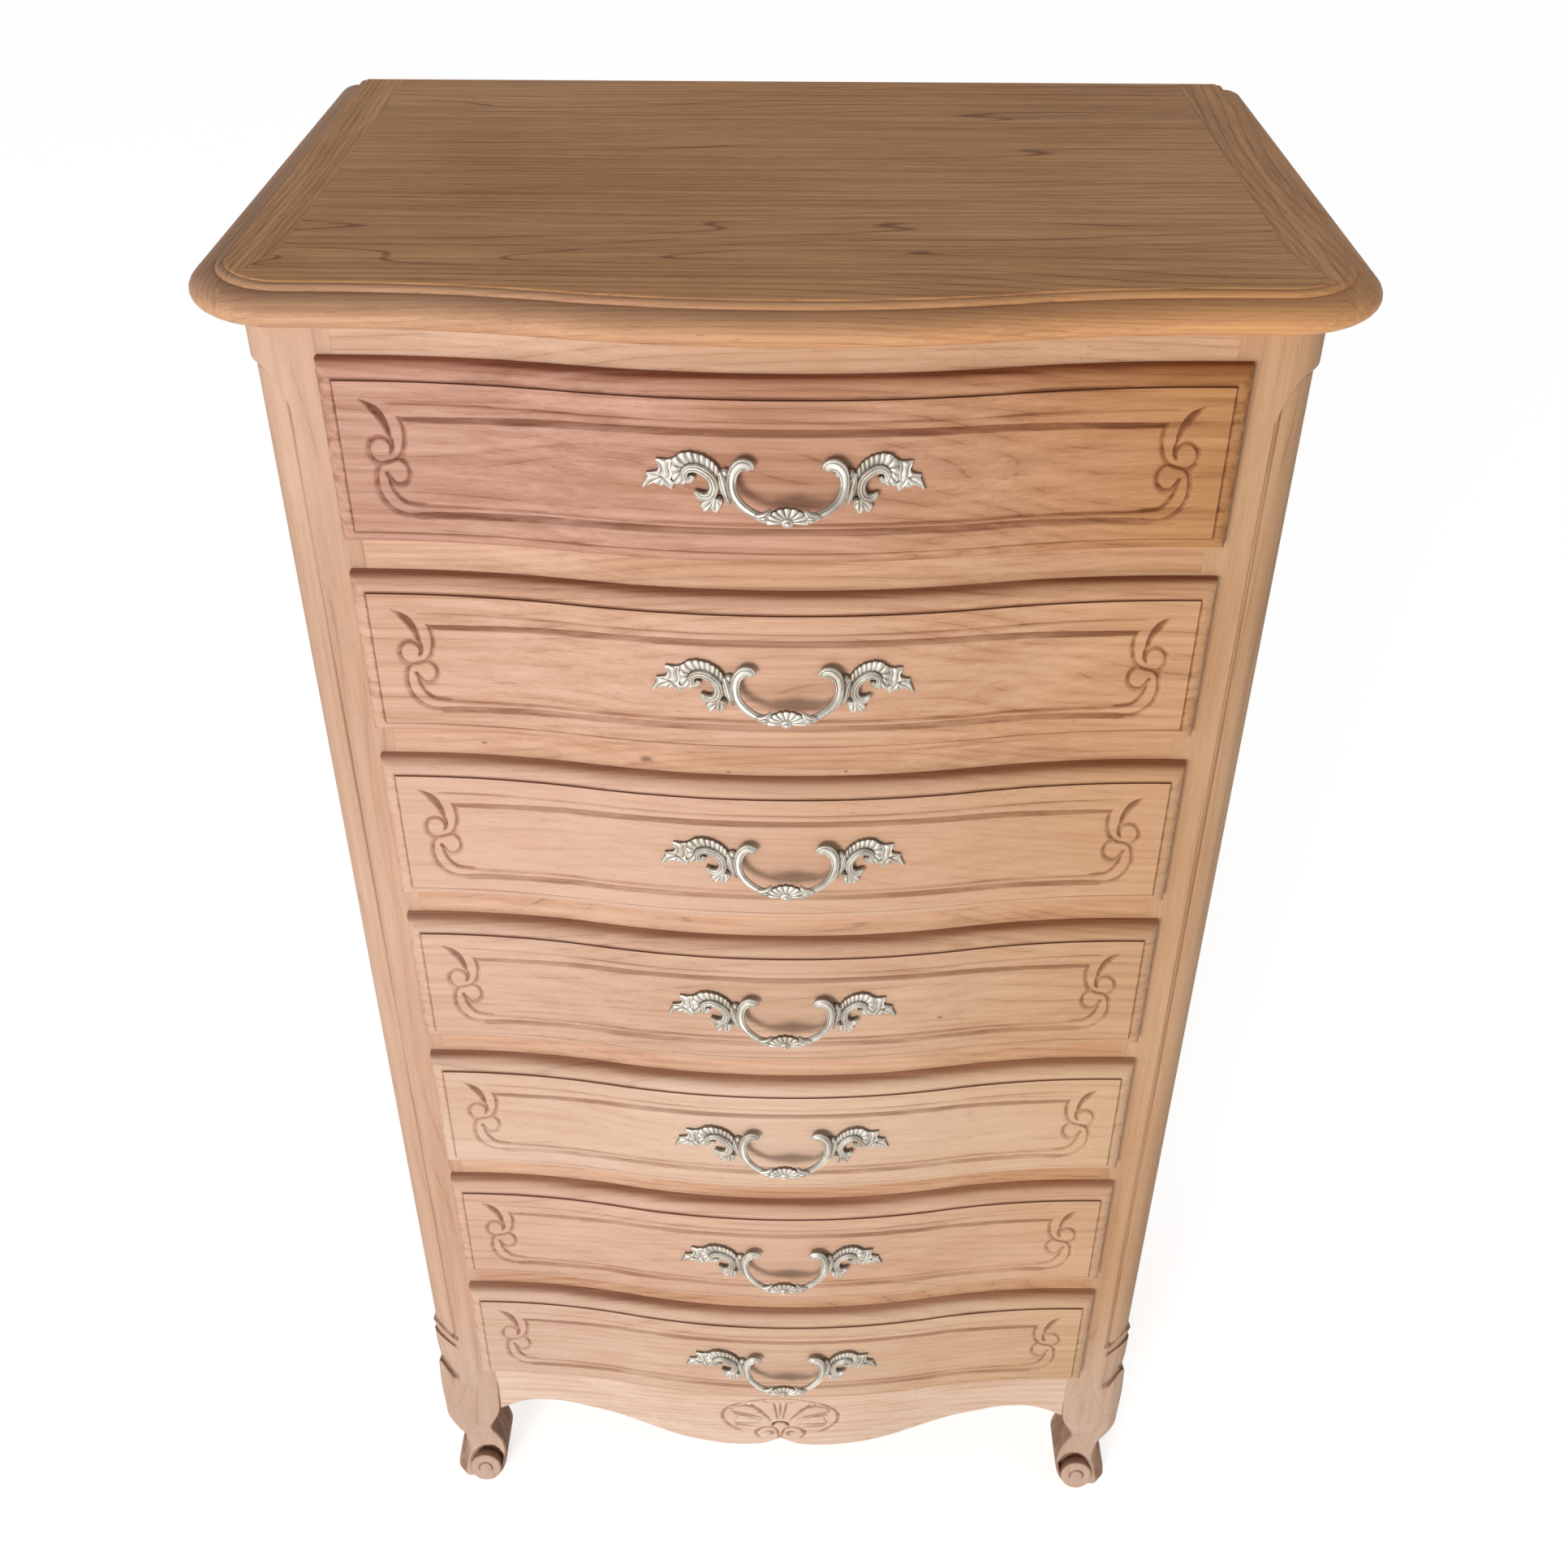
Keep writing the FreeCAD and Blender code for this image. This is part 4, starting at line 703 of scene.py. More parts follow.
def spray():
    """The left-hand spray, drawn to the right: frilled hump, grooved scroll, stem, outer and lower leaf, nails."""
    return [fluted_fan(FRILL_OUTER, FRILL_INNER, flutes=14),
            rib(SCROLL_RIB, 110, cross((-0.25, 0.45), 1.5, -1.5)), rib(STEM_RIB, 50, cross((-0.45, 0.3), 1.4, -1.5)),
            leaf((70.0, 2.6), OUTER_LEAF, OUTER_VEINS), leaf((41.0, -15.4), LOWER_LEAF, LOWER_VEINS),
            *(boss(*nail) for nail in NAILS)]


print("sheets in a spray:", len(spray()))

# %% The bail, its flower and its collars
HALF_BAIL = (
    (20.6, 8.6, 4.4, 2.8, 1.5), (21.4, 11.2, 4.8, 4.0, 1.9), (24.0, 12.3, 5.1, 4.2, 2.1),
    (26.8, 10.6, 5.5, 3.6, 2.2), (28.8, 7.3, 6.0, 3.1, 2.3), (29.6, 2.7, 7.0, 2.8, 2.3),
    (29.3, -1.4, 8.0, 2.7, 2.3), (28.0, -5.6, 9.5, 2.6, 2.2), (25.2, -9.6, 11.2, 2.6, 2.2),
    (20.8, -13.2, 13.0, 2.6, 2.2), (15.4, -16.0, 14.2, 2.6, 2.1), (8.0, -17.8, 14.8, 2.6, 2.1),
    (0.0, -18.4, 15.0, 2.6, 2.1))
COLLARS = (  # root, tip, width, height, out, bend
    ((17.4, -15.6), (9.4, -21.2), 2.6, 2.4, 15.0, -0.14), ((16.6, -15.4), (8.6, -10.8), 2.4, 2.4, 15.2, 0.22),
    ((14.4, -17.0), (9.2, -16.6), 2.2, 2.6, 15.8, 0.0))
HEARTS = ((0, -19.6, 17.2, 3.3, 1.4), (0, -19.8, 18.0, 2.0, 1.6))  # x, z, out, radius, height


def bail():
    """Grooved band from horn to horn, half a flower on its middle and three curled leaves at each side of it."""
    right = np.array(HALF_BAIL)
    whole = np.concatenate([right, right[-2::-1] * [-1, 1, 1, 1, 1]])
    band = rib(whole, 150, cross((-0.55, 0.55), 1.5))
    turn = np.linspace(-0.06 * pi, 1.06 * pi, 15)
    petals = fluted_fan(np.column_stack([10.4 * np.cos(turn), -19.4 + 9.2 * np.sin(turn)]),
                        np.column_stack([3.0 * np.cos(turn), -19.4 + 2.8 * np.sin(turn)]),
                        flutes=9, out=17.0, count=100, bulge=1.2, depth=8, foot=2.6)
    hearts = [boss(*heart) for heart in HEARTS]
    collars = [lobe(*collar) for collar in COLLARS]
    return [band, petals, *hearts, *collars, *mirrored(collars)]


print("sheets in a bail:", len(bail()))

# %% Seven handles, bent on to the bow
HANDLE_Z = LIP_TOP - LIP_HEIGHT / 2
HANDLE_SHIFT = 0.8


def on_drawer(sheets):
    """Bends x, z, out on to the drawer: x along the bow, z up from its middle, out from its field. As on the real
    castings the right half isn't quite the mirror of the left: flower and horn stand further out, and the spray
    is shorter."""
    bent = []
    for points, quads, caps, recess in sheets:
        x, height, stand = points.T
        moved = np.interp(x, [-29, 0, 30, 82], [0, 2.2, 5.6, -0.4])
        bent.append((on_bow(x + moved + HANDLE_SHIFT, FIELD + stand, HANDLE_Z + height), quads, caps, recess))
    return bent


handle_sheets = on_drawer(spray() + mirrored(spray()) + bail() + [boss(*SCREW_SEAT)])
first_pull = piece("drawer_1_pull", handle_sheets, "drawer_1", cast_metal, ["drawer_1_handle"],
                   crease=50)
handles = one_per_drawer(first_pull, "pull", [cast_metal] * DRAWERS, "handle")
print("handles:", len(handles), "with", len(handles[0].data.polygons), "faces each")

# %% [markdown]
# ## Front posts, cabriole legs and scroll feet
# Post and leg are one piece of wood. The post's corner is a quarter round beside a quirk. It ends above in a
# curved stop and below in a sloped stop over a cuff. The leg swells at the knee, thins at the ankle and ends in
# a scroll. Blocks joined with booleans would leave seams at the stops. A section with a fixed number of points is
# carried up from the floor instead, so the whole post is one grid: below the knee a table of sizes shapes it, and
# above it a plain corner and a moulded corner blend into each other along curved lines.

# %% Sections of the post and the leg
POST_IN, POST_OUT, SHAFT_CORNER, ROUND_WIDE, QUIRK, ROUND_RUN = 265.0, 321.0, 26.0, 27.0, 2.5, 10.0
FRONT_STEPS, CORNER_STEPS, SIDE_STEPS, EASE_STEPS = 40, 84, 8, 6


def section(left, front, right, back, ease, corner_x, corner_y):
    """Closed outline: along the front, through the given corner points, down the side, along the back, home with
    an eased inner corner."""
    f, s = np.linspace(0, 1, FRONT_STEPS, endpoint=False), np.linspace(0, 1, SIDE_STEPS)
    turn = np.linspace(0, pi / 2, EASE_STEPS)[:-1]
    start = left + ease
    x = [start + (corner_x[:, :1] - start) * f, corner_x, right + 0 * s, right + (left - right) * s,
         left + 0 * s[:-1], left + ease * (1 - np.cos(turn))]
    y = [front + (corner_y[:, :1] - front) * f, corner_y, corner_y[:, -1:] + (back - corner_y[:, -1:]) * s,
         back + 0 * s, back + (front + ease - back) * s[:-1], front + ease * (1 - np.sin(turn))]
    return np.concatenate(x, 1), np.concatenate(y, 1)


def leg_corner(right, front, radius, crisp):
    """Outer front corner: a quarter circle, or where `crisp` is 1 a straight bevel with two clear edges."""
    c = np.linspace(0, 1, CORNER_STEPS)
    far = np.sin(c * pi / 2) * (1 - crisp) + c * crisp
    deep = (1 - np.cos(c * pi / 2)) * (1 - crisp) + c * crisp
    return right - radius * (1 - far), front + radius * deep


def moulded_corner():
    """Quirk, bead line, quarter round, straight run and a step to the side, at even shares of the corner."""
    c = np.linspace(0, 1, CORNER_STEPS)
    turn = np.clip((c - 0.06) / 0.78, 0, 1) * pi / 2
    radius = ROUND_WIDE - QUIRK
    x = POST_OUT - ROUND_WIDE + radius * np.sin(turn)
    y = QUIRK * np.clip(c / 0.06, 0, 1) + radius * (1 - np.cos(turn)) + ROUND_RUN * np.clip((c - 0.84) / 0.1, 0, 1)
    bead = 0.5 * np.exp(-((c - 0.13) / 0.018) ** 2)
    return c, x + QUIRK * np.clip((c - 0.94) / 0.06, 0, 1), y + bead


def ledge(height, width=2.0):
    """0 below a carved line, 1 above it, with a soft rise of `width` between."""
    t = np.clip(height / width, 0, 1)
    return t * t * (3 - 2 * t)


print("points round a section:", FRONT_STEPS + CORNER_STEPS + 3 * SIDE_STEPS - 1 + EASE_STEPS - 1)

# %% The post from the floor to the top
LEG = (  # height, inner side, outer side, front, back, outer corner, inner corner
    (0, 279, 309, 0.0, 36, 6, 8), (3, 276, 313.5, -3.5, 38, 7, 8), (11, 272.0, 315.5, -5.5, 40, 9, 6),
    (22, 268.5, 314.5, -2.5, 41, 10, 4), (33, 267.2, 311, 2.5, 41.5, 10, 3),
    (43, 268.8, 306.5, 5.5, 42.5, 4.5, 2.5), (56, 273.5, 306.2, 6.0, 44, 2.5, 2),
    (73, 278, 313.2, 3.5, 46, 3.5, 2), (90, 273.5, 318.5, -0.5, 47.5, 9, 1.5), (108, 267, 320.5, -2.5, 49, 16, 1),
    (138, 265, 321.5, -2.5, 50, 18, 0.4), (165, 265, 321, 0.0, 50, 18, 0.2), (190, 265, 321, 0.0, 50, 18, 0.2))
KNEE, CUFF, ROUND = (153, 23, 1.7), (202, 14, 2.2), (214, 19, 1.6)  # height at the sides, lift amid, power
STOP_HIGH, STOP_DROP, CRISP_BELOW, CRISP_RUN = 1168.5, 27, 96, 24
BAND_DEEP, NOTCH_DEEP, NOTCH_RUN, SUNK_SHARE = 2.6, 1.6, 9, 0.7
POST_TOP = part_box("top_field")[0].z / MM
post_z = np.concatenate([np.arange(0, 9, 1.5), np.arange(9, 50, 0.75), np.arange(50, 148, 1.75),
                         np.arange(148, 244, 0.55), np.linspace(244, 1128, 40), np.arange(1129, 1182, 0.9),
                         [1192, POST_TOP - 0.4, POST_TOP]])
leg = flowing(LEG, 400)
left, right, front, deep, bulge, ease = (np.interp(post_z, leg[:, 0], leg[:, k])[:, None] for k in range(1, 7))
along, round_x, round_y = moulded_corner()
z, hat, inward = post_z[:, None], 1 - np.abs(2 * along - 1), np.clip(2 * along, 0, 1)
knee_line, cuff_line, round_line = (base + lift * (1 - (1 - hat) ** power)
                                    for base, lift, power in (KNEE, CUFF, ROUND))
stop_line = STOP_HIGH - STOP_DROP * (1 - inward) ** 3
on_shaft, amid = ledge(z - knee_line), np.clip(4 * hat, 0, 1)
corner_radius = bulge * (1 - on_shaft) + SHAFT_CORNER * on_shaft
soft_x, soft_y = leg_corner(right, front, corner_radius, np.clip((CRISP_BELOW - z) / CRISP_RUN, 0, 1))
band = np.clip((round_line - z) / (round_line - cuff_line), 0, 1) * ledge(z - cuff_line) * amid
notch = NOTCH_DEEP * np.exp(-np.clip(z - knee_line, 0, None) / NOTCH_RUN) * on_shaft * amid
sunk = (BAND_DEEP * band + notch) * SUNK_SHARE
moulded = ledge(z - round_line) * (1 - ledge(z - stop_line, 2.5 + 3.5 * inward ** 3))
corner_x = (soft_x - sunk) * (1 - moulded) + round_x * moulded
corner_y = (soft_y + sunk) * (1 - moulded) + round_y * moulded
post_x, post_y = section(left, front, right, deep, ease, corner_x, corner_y)
print("post grid:", post_x.shape)

# %% Carved lines of the cuff and knee, and the hollow above the scroll
LEAF_LINE = (
    (287.5, 186, 0.5), (290.4, 160, 0.5), (293.2, 149, 0.5), (297.4, 138, 0.5), (301.0, 128, 0.5),
    (304.6, 119, 0.5), (308.4, 116, 0.5), (313.6, 114.6, 0.5), (317.5, 121, 0.5))
LEAF_LOW, LEAF_HIGH, LEAF_DEEP, LEAF_WIDE = 105, 190, 0.5, 1.3
ARCH_HIGH, ARCH_OUTER, ARCH_INNER, COVE_DEEP, COVE_SOFT, COVE_BACK = 41.5, 286, 282, 11.0, 3.5, 24
CORNER_END = FRONT_STEPS + CORNER_STEPS
place = np.arange(post_x.shape[1])[None, :]
full_z, facing = np.broadcast_to(z, post_x.shape), place < CORNER_END
on_knee = facing & (full_z < LEAF_HIGH) & (full_z > LEAF_LOW)
leaf_cut = LEAF_DEEP * on_knee * share(gap_to(LEAF_LINE, 90, post_x, full_z), LEAF_WIDE)
arch = ARCH_HIGH - 0.045 * np.clip(post_x - ARCH_OUTER, 0, None) ** 2 \
    - 0.08 * np.clip(ARCH_INNER - post_x, 0, None) ** 2
cove = COVE_DEEP * ledge(arch - full_z, COVE_SOFT) * fade(full_z, 8, 16) * np.clip((post_x - left - 2.6) / 1.6, 0, 1) \
    * np.clip((303 - post_x) / 12, 0, 1) * facing * (post_y < COVE_BACK)
post_y = post_y + leaf_cut + cove
post_points = np.stack([post_x, post_y, full_z], -1)
print("deepest cut over the scroll:", round(cove.max(), 1), "mm")

# %% Painted shade on the post, with old varnish in the carved lines and on the foot: in the carved lines, beside the bead, on the foot and on the leg's inner flank
FLANK_BELOW, FOOT_BELOW = 118, 52
# Painted shade along the carved lines of knee, cuff, round and stop.
ledge_shade = [np.exp(-((z - line - 0.7) / wide) ** 2) * strength * np.clip(5 * hat, 0, 1)
          for line, wide, strength in ((knee_line, 1.1, 1.0), (cuff_line, 1.2, 1.0), (round_line, 0.8, 0.85),
                                       (stop_line, 1.2, 0.8))]
# Painted shade in the quirk and beside the bead.
quirk_shade = (0.86 * np.exp(-((along - 0.045) / 0.03) ** 2) + 0.66 * np.exp(-((along - 0.13) / 0.02) ** 2)) * moulded
inner_flank = place >= CORNER_END + 2 * SIDE_STEPS
# Old varnish and painted shade in the knee's carved line, painted shade in the hollow over the scroll and on the leg's
# inner flank.
post_soil_and_shade = leaf_cut * 0.6 + cove * 0.07 + 0.75 * inner_flank * np.clip((FLANK_BELOW - full_z) / 12, 0, 1)
# Old varnish and painted shade on the foot's outer flank.
post_soil_and_shade[:, FRONT_STEPS:CORNER_END + SIDE_STEPS] += 0.72 * np.clip((FOOT_BELOW - z) / 10, 0, 1) \
    * np.clip(6 * np.linspace(0, 1.2, CORNER_STEPS + SIDE_STEPS) - 0.4, 0, 1)
post_soil_and_shade[:, FRONT_STEPS:CORNER_END] += np.max(ledge_shade, 0) + quirk_shade
post_soil_and_shade = np.clip(post_soil_and_shade, 0, 1)
print("share of the post with dirt:", round((post_soil_and_shade > 0.1).mean(), 3))

# %% The scroll on the foot, and both posts
FOOT_DISC = (  # radius and lift, from the eye to the back
    (0.01, 1.0), (2.5, 0.8), (4.6, 0.4), (5.4, 0.0), (5.8, -1.3), (6.8, -1.4), (7.4, -0.3), (9.4, -0.2),
    (11.4, -0.1), (12.8, 0.2), (13.8, 0.0), (14.5, -0.6), (15.0, -1.6), (15.1, -6.5), (14.6, -9.5), (12.0, -12.0),
    (0.01, -12.5))


def scroll_foot(cx, cz, front_y, tilt):
    """Disc turned on an axis that points forward and leans back: raised rim, C-shaped cut and round eye."""
    profile = np.array(FOOT_DISC)
    turn = np.linspace(0, 2 * pi, 72, endpoint=False)
    radius, lift = profile[:, :1] + 0 * turn, profile[:, 1:] + 0 * turn
    ring = np.abs(radius - 6.3) < 0.8
    lift = np.where(ring, lift * np.clip(1.4 + 2.0 * np.sin(turn), 0, 1), lift)
    x, up = cx + radius * np.cos(turn), radius * np.sin(turn)
    y = front_y - lift * cos(tilt) + up * sin(tilt)
    height = np.maximum(cz + up * cos(tilt) + lift * sin(tilt), 0.0)
    # Old varnish and painted shade in the C-shaped cut, painted shade on the back of the disc.
    soil_and_shade = np.where(ring, np.clip(-lift / 1.8, 0, 1), 0.85 * (profile[:, 1:] < -1.5))
    return sheet(np.stack([x, y, height], -1), soil_and_shade, ring=True)


right_post = [sheet(post_points, post_soil_and_shade, ring=True, capped=True),
              scroll_foot(cx=287.8, cz=19.6, front_y=-6.0, tilt=radians(16))]
posts = [piece(f"front_post_{side}_turned", sheets, "carcass", post_wood, [f"front_post_{side}"],
               crease=30)
         for side, sheets in (("right", right_post), ("left", mirrored(right_post)))]
print("posts of", len(posts[0].data.polygons), "faces")

# %% [markdown]
# ## The apron and its shell
# The apron is a bowed board with a cut lower edge and a shell carved in its middle, in a sunk oval. Again it is
# a height over the bow, on a grid between the lower edge and the top edge, because so shallow a carving needs no
# loose parts. The fan is left standing in the oval: its rim is a drawn line, measured round a point at its foot.
# Its ribs are strokes cut along drawn lines, and a spiral curls in at each side below it. All of it is squeezed a
# little in height, so that it shows under the last drawer.

# %% Tables of the apron and the shell: place from the middle, height and half width of a cut
APRON_EDGE = (
    (0, 106), (8, 101.5), (14, 98), (23, 95.5), (46, 93.5), (69, 95), (92, 99), (115, 106), (137, 113.5),
    (160, 120), (183, 124.5), (206, 128.6), (231, 128), (248, 122), (256, 117.5), (265, 112))
SHELL_RIM = (
    (0, 173.5), (4.3, 176.1), (10.6, 172.0), (17.8, 175.8), (29.5, 173.0), (33.2, 165.6), (43.2, 160.4),
    (45.2, 152.4), (40.4, 142.4), (43.0, 134.5), (39.8, 125.2), (30.0, 121.5), (24.0, 121.0))
SHELL_CUTS = (
    ((6.0, 173.0, 0.5), (4.2, 158, 0.4), (2.4, 143, 0.1)), ((0.0, 171.5, 0.3), (0.0, 160, 0.3), (0.0, 150, 0.1)),
    ((26.5, 168.5, 1.0), (18.5, 156, 1.0), (12.5, 147, 0.7), (8.6, 138, 0.2)),
    ((30.8, 165.8, 1.3), (22, 163.0, 1.2), (16.5, 155.5, 0.5), (13, 149.5, 0.1)),
    ((43.2, 154.0, 1.0), (34, 151.4, 1.2), (24, 147.6, 0.9), (16, 143.2, 0.2)),
    ((41.8, 149.6, 1.2), (33, 147.4, 0.9), (25, 143, 0.5), (17, 138.5, 0.1)),
    ((40.4, 132.4, 1.3), (30, 133.2, 1.1), (18, 133.0, 0.2)),
    ((40.6, 129.0, 0.9), (30, 128.6, 0.8), (22, 127.2, 0.2)))
DOME_CUT = ((7.4, 129.6, 0.3), (6.0, 133.4, 1.0), (3.4, 136.2, 1.3), (0.0, 137.2, 1.4))
SPIRAL = (
    (1.2, 107, 0.4), (2.2, 117, 0.5), (5.4, 125.0, 0.7), (13.6, 126.8, 0.9), (20.4, 121.6, 1.1), (22.8, 113, 0.9),
    (19.0, 106.5, 0.4))
CURL_IN = ((13.4, 118.8, 0.2), (9.4, 119.0, 0.9), (7.0, 115.6, 1.1), (7.8, 112.0, 0.8), (11.0, 110.6, 0.2))
FAN_FOOT, OVAL_WIDE, OVAL_HIGH, OVAL_MID, SQUEEZE_FROM, SQUEEZE = 127.0, 53.8, 36.0, 143.5, 107, 0.2
GROUND_DEEP, RING_DEEP, RING_WIDE, CROWN_HIGH = 0.9, 1.8, 1.4, 0.5
STROKE, RIM_CUT, DOME, CURLS = (1.3, 1.3), (1.5, 0.9), (1.4, 2.0), (1.4, 1.4)  # wall and depth of the cuts


def trench(gap, wall, depth):
    """Round-bottomed cut: full depth inside a line, rising to nothing over `wall` beside it."""
    t = share(gap, wall)
    return -depth * t * t * (3 - 2 * t)


def shell(s, z):
    """Height of the shell, with old varnish and painted shade in its cuts: a groove round an oval, ground sunk in it,
    the fan left standing, strokes.
    """
    x, z = np.abs(s), z + SQUEEZE * np.maximum(z - SQUEEZE_FROM, 0)
    oval = (np.hypot(x / OVAL_WIDE, (z - OVAL_MID) / OVAL_HIGH) - 1) * OVAL_HIGH
    rim = flowing(SHELL_RIM, 160)
    rim_angle, rim_reach = (way(rim[:, 0], rim[:, 1] - FAN_FOOT) for way in (np.arctan2, np.hypot))
    fan = np.hypot(x, z - FAN_FOOT) - np.interp(np.arctan2(x, z - FAN_FOOT), rim_angle, rim_reach)
    inside = np.clip(-oval / 2.4, 0, 1)
    ground = -GROUND_DEEP * inside * np.clip(fan / 0.5, 0, 1) * np.clip(1.25 - fan / 12.0, 0.15, 1)
    ring = -RING_DEEP * np.exp(-(oval / RING_WIDE) ** 2) * np.clip((z - 110) / 10, 0, 1)
    rim_line = np.column_stack([rim, 0.1 + 0 * rim[:, 0]])
    outline = trench(gap_to(rim_line, 160, x, z), *RIM_CUT) * (oval < -2) * (x > 8)
    curls = np.minimum(gap_to(SPIRAL, 90, x, z), gap_to(CURL_IN, 50, x, z))
    strokes = np.minimum.reduce([trench(gap_to(stroke, 40, x, z), *STROKE) for stroke in SHELL_CUTS]
                                + [trench(gap_to(DOME_CUT, 40, x, z), *DOME), trench(curls, *CURLS)])
    knot = (np.hypot((x - 11.5) / 12.5, (z - 115) / 12.5) < 1) | (z < 112)
    crown = np.clip(-fan / 10, 0, 1) * np.clip(1 - np.abs(fan) / 60, 0, 1)
    lift = np.minimum(np.where(knot, 0, ground), ring * ~knot) + np.minimum(strokes, outline) \
        + np.where(fan < 0, CROWN_HIGH * crown, 0)
    # Old varnish and painted shade in the strokes, the rim's outline and the groove round the oval.
    return lift, np.clip(np.maximum.reduce([-0.58 * strokes, -0.6 * outline, -0.42 * ring * ~knot]), 0, 1)


print("strokes in half the shell:", len(SHELL_CUTS))

# %% The apron
apron_half = np.concatenate([np.arange(0, 60, 0.5), np.arange(60, POST_IN, 4.0), [POST_IN]])
apron_s = np.concatenate([-apron_half[:0:-1], apron_half])
apron_line = flowing(APRON_EDGE, 300)
apron_low = np.interp(np.abs(apron_s), apron_line[:, 0], apron_line[:, 1])
apron_top, apron_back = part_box("apron_rail")[1].z / MM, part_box("apron_rail")[1].y / MM - face_y
apron_rows = np.concatenate([[0.0, 0.006], np.linspace(0.012, 0.994, 160), [1.0]])
apron_z = apron_low[:, None] + (apron_top - apron_low)[:, None] * apron_rows
apron_lift, shell_soil_and_shade = shell(apron_s[:, None] + 0 * apron_rows, apron_z)
apron_lift[:, [0, -1]] -= 0.6
apron_face = on_bow(apron_s[:, None] + 0 * apron_rows, apron_lift, apron_z)
behind = np.stack([np.stack([apron_s, apron_back + 0 * apron_s, level + 0 * apron_s], -1)
                   for level in (apron_top, apron_low)], 1)
apron_soil_and_shade = np.concatenate([shell_soil_and_shade, np.zeros((len(apron_s), 2))], 1)
apron_sheet = sheet(np.concatenate([apron_face, behind], 1), apron_soil_and_shade, ring=True, capped=True)
apron = piece("apron_carved", [apron_sheet], "carcass", apron_wood, ["apron_rail"], crease=70)
print("apron of", len(apron.data.polygons), "faces")

# %% [markdown]
# ## Rails between the drawers
# A bowed rail shows between every two drawers, and the frieze rail above the first. A bevelled curve could be
# used, but its back would bow as well. So each is a bar: a ring of points with eased front edges and a flat
# back, carried along the bow.

# %% Frieze and drawer rails
RAIL_BELOW, RAIL_ABOVE = 32, 8


def bowed_bar(low, high, tail, ease=0.7):
    """Bar along the bow from post to post: its front follows the bow, its back is flat at `tail`."""
    s = np.linspace(-POST_IN, POST_IN, 133)[:, None]
    proud = np.array([-ease, 0, 0, -ease])[None, :]
    height = np.array([low, low + ease, high - ease, high])[None, :] + 0 * s
    face = on_bow(s + 0 * proud, proud + 0 * s, height)
    flat = np.stack([np.stack([s[:, 0], tail + 0 * s[:, 0], level + 0 * s[:, 0]], -1) for level in (high, low)], 1)
    return sheet(np.concatenate([face, flat], 1), ring=True, capped=True)


rail_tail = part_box("drawer_rails")[1].y / MM - face_y
rail_levels = [LIP_TOP - LIP_HEIGHT - PITCH * step for step in range(DRAWERS - 1)]
rail_bars = [bowed_bar(level - RAIL_BELOW, level + RAIL_ABOVE, rail_tail) for level in rail_levels]
piece("drawer_rails_bowed", rail_bars, "carcass", rail_wood, ["drawer_rails"])
frieze_low, frieze_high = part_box("frieze_rail")
frieze_bar = bowed_bar(frieze_low.z / MM, frieze_high.z / MM, frieze_high.y / MM - face_y)
piece("frieze_rail_bowed", [frieze_bar], "carcass", frieze_wood, ["frieze_rail"])
print("rails at", [round(level) for level in rail_levels])

# %% [markdown]
# ## The moulded top
# The top is a field of boards with a strip along its front and a cross-grained board at each end, mitred at the
# front corners, and a moulding worked on all of them. Four separate boards would each need their own cut of the
# moulding. One profile is carried round the outline instead, and the flat top closes it. The finish lays the
# grain by where a point is: beyond the mitre it turns to run from front to back. The moulded nose is smoother and,
# towards the left, rosier than the flat.

# %% The finish of the top
SEAM_X, STRIP_BACK, MITRE_RUN = 299.0, 46.0, 17.0
NOSE_HIGH, NOSE_LOW, ROSY = 1.2298, 1.2288, (0.86, 0.95, 1.3, 1.0)
MEAN_DEPTH, BLUR, SEAM_OUTER, SEAM_INNER = 0.42, 0.0002, 0.0004, 0.0001


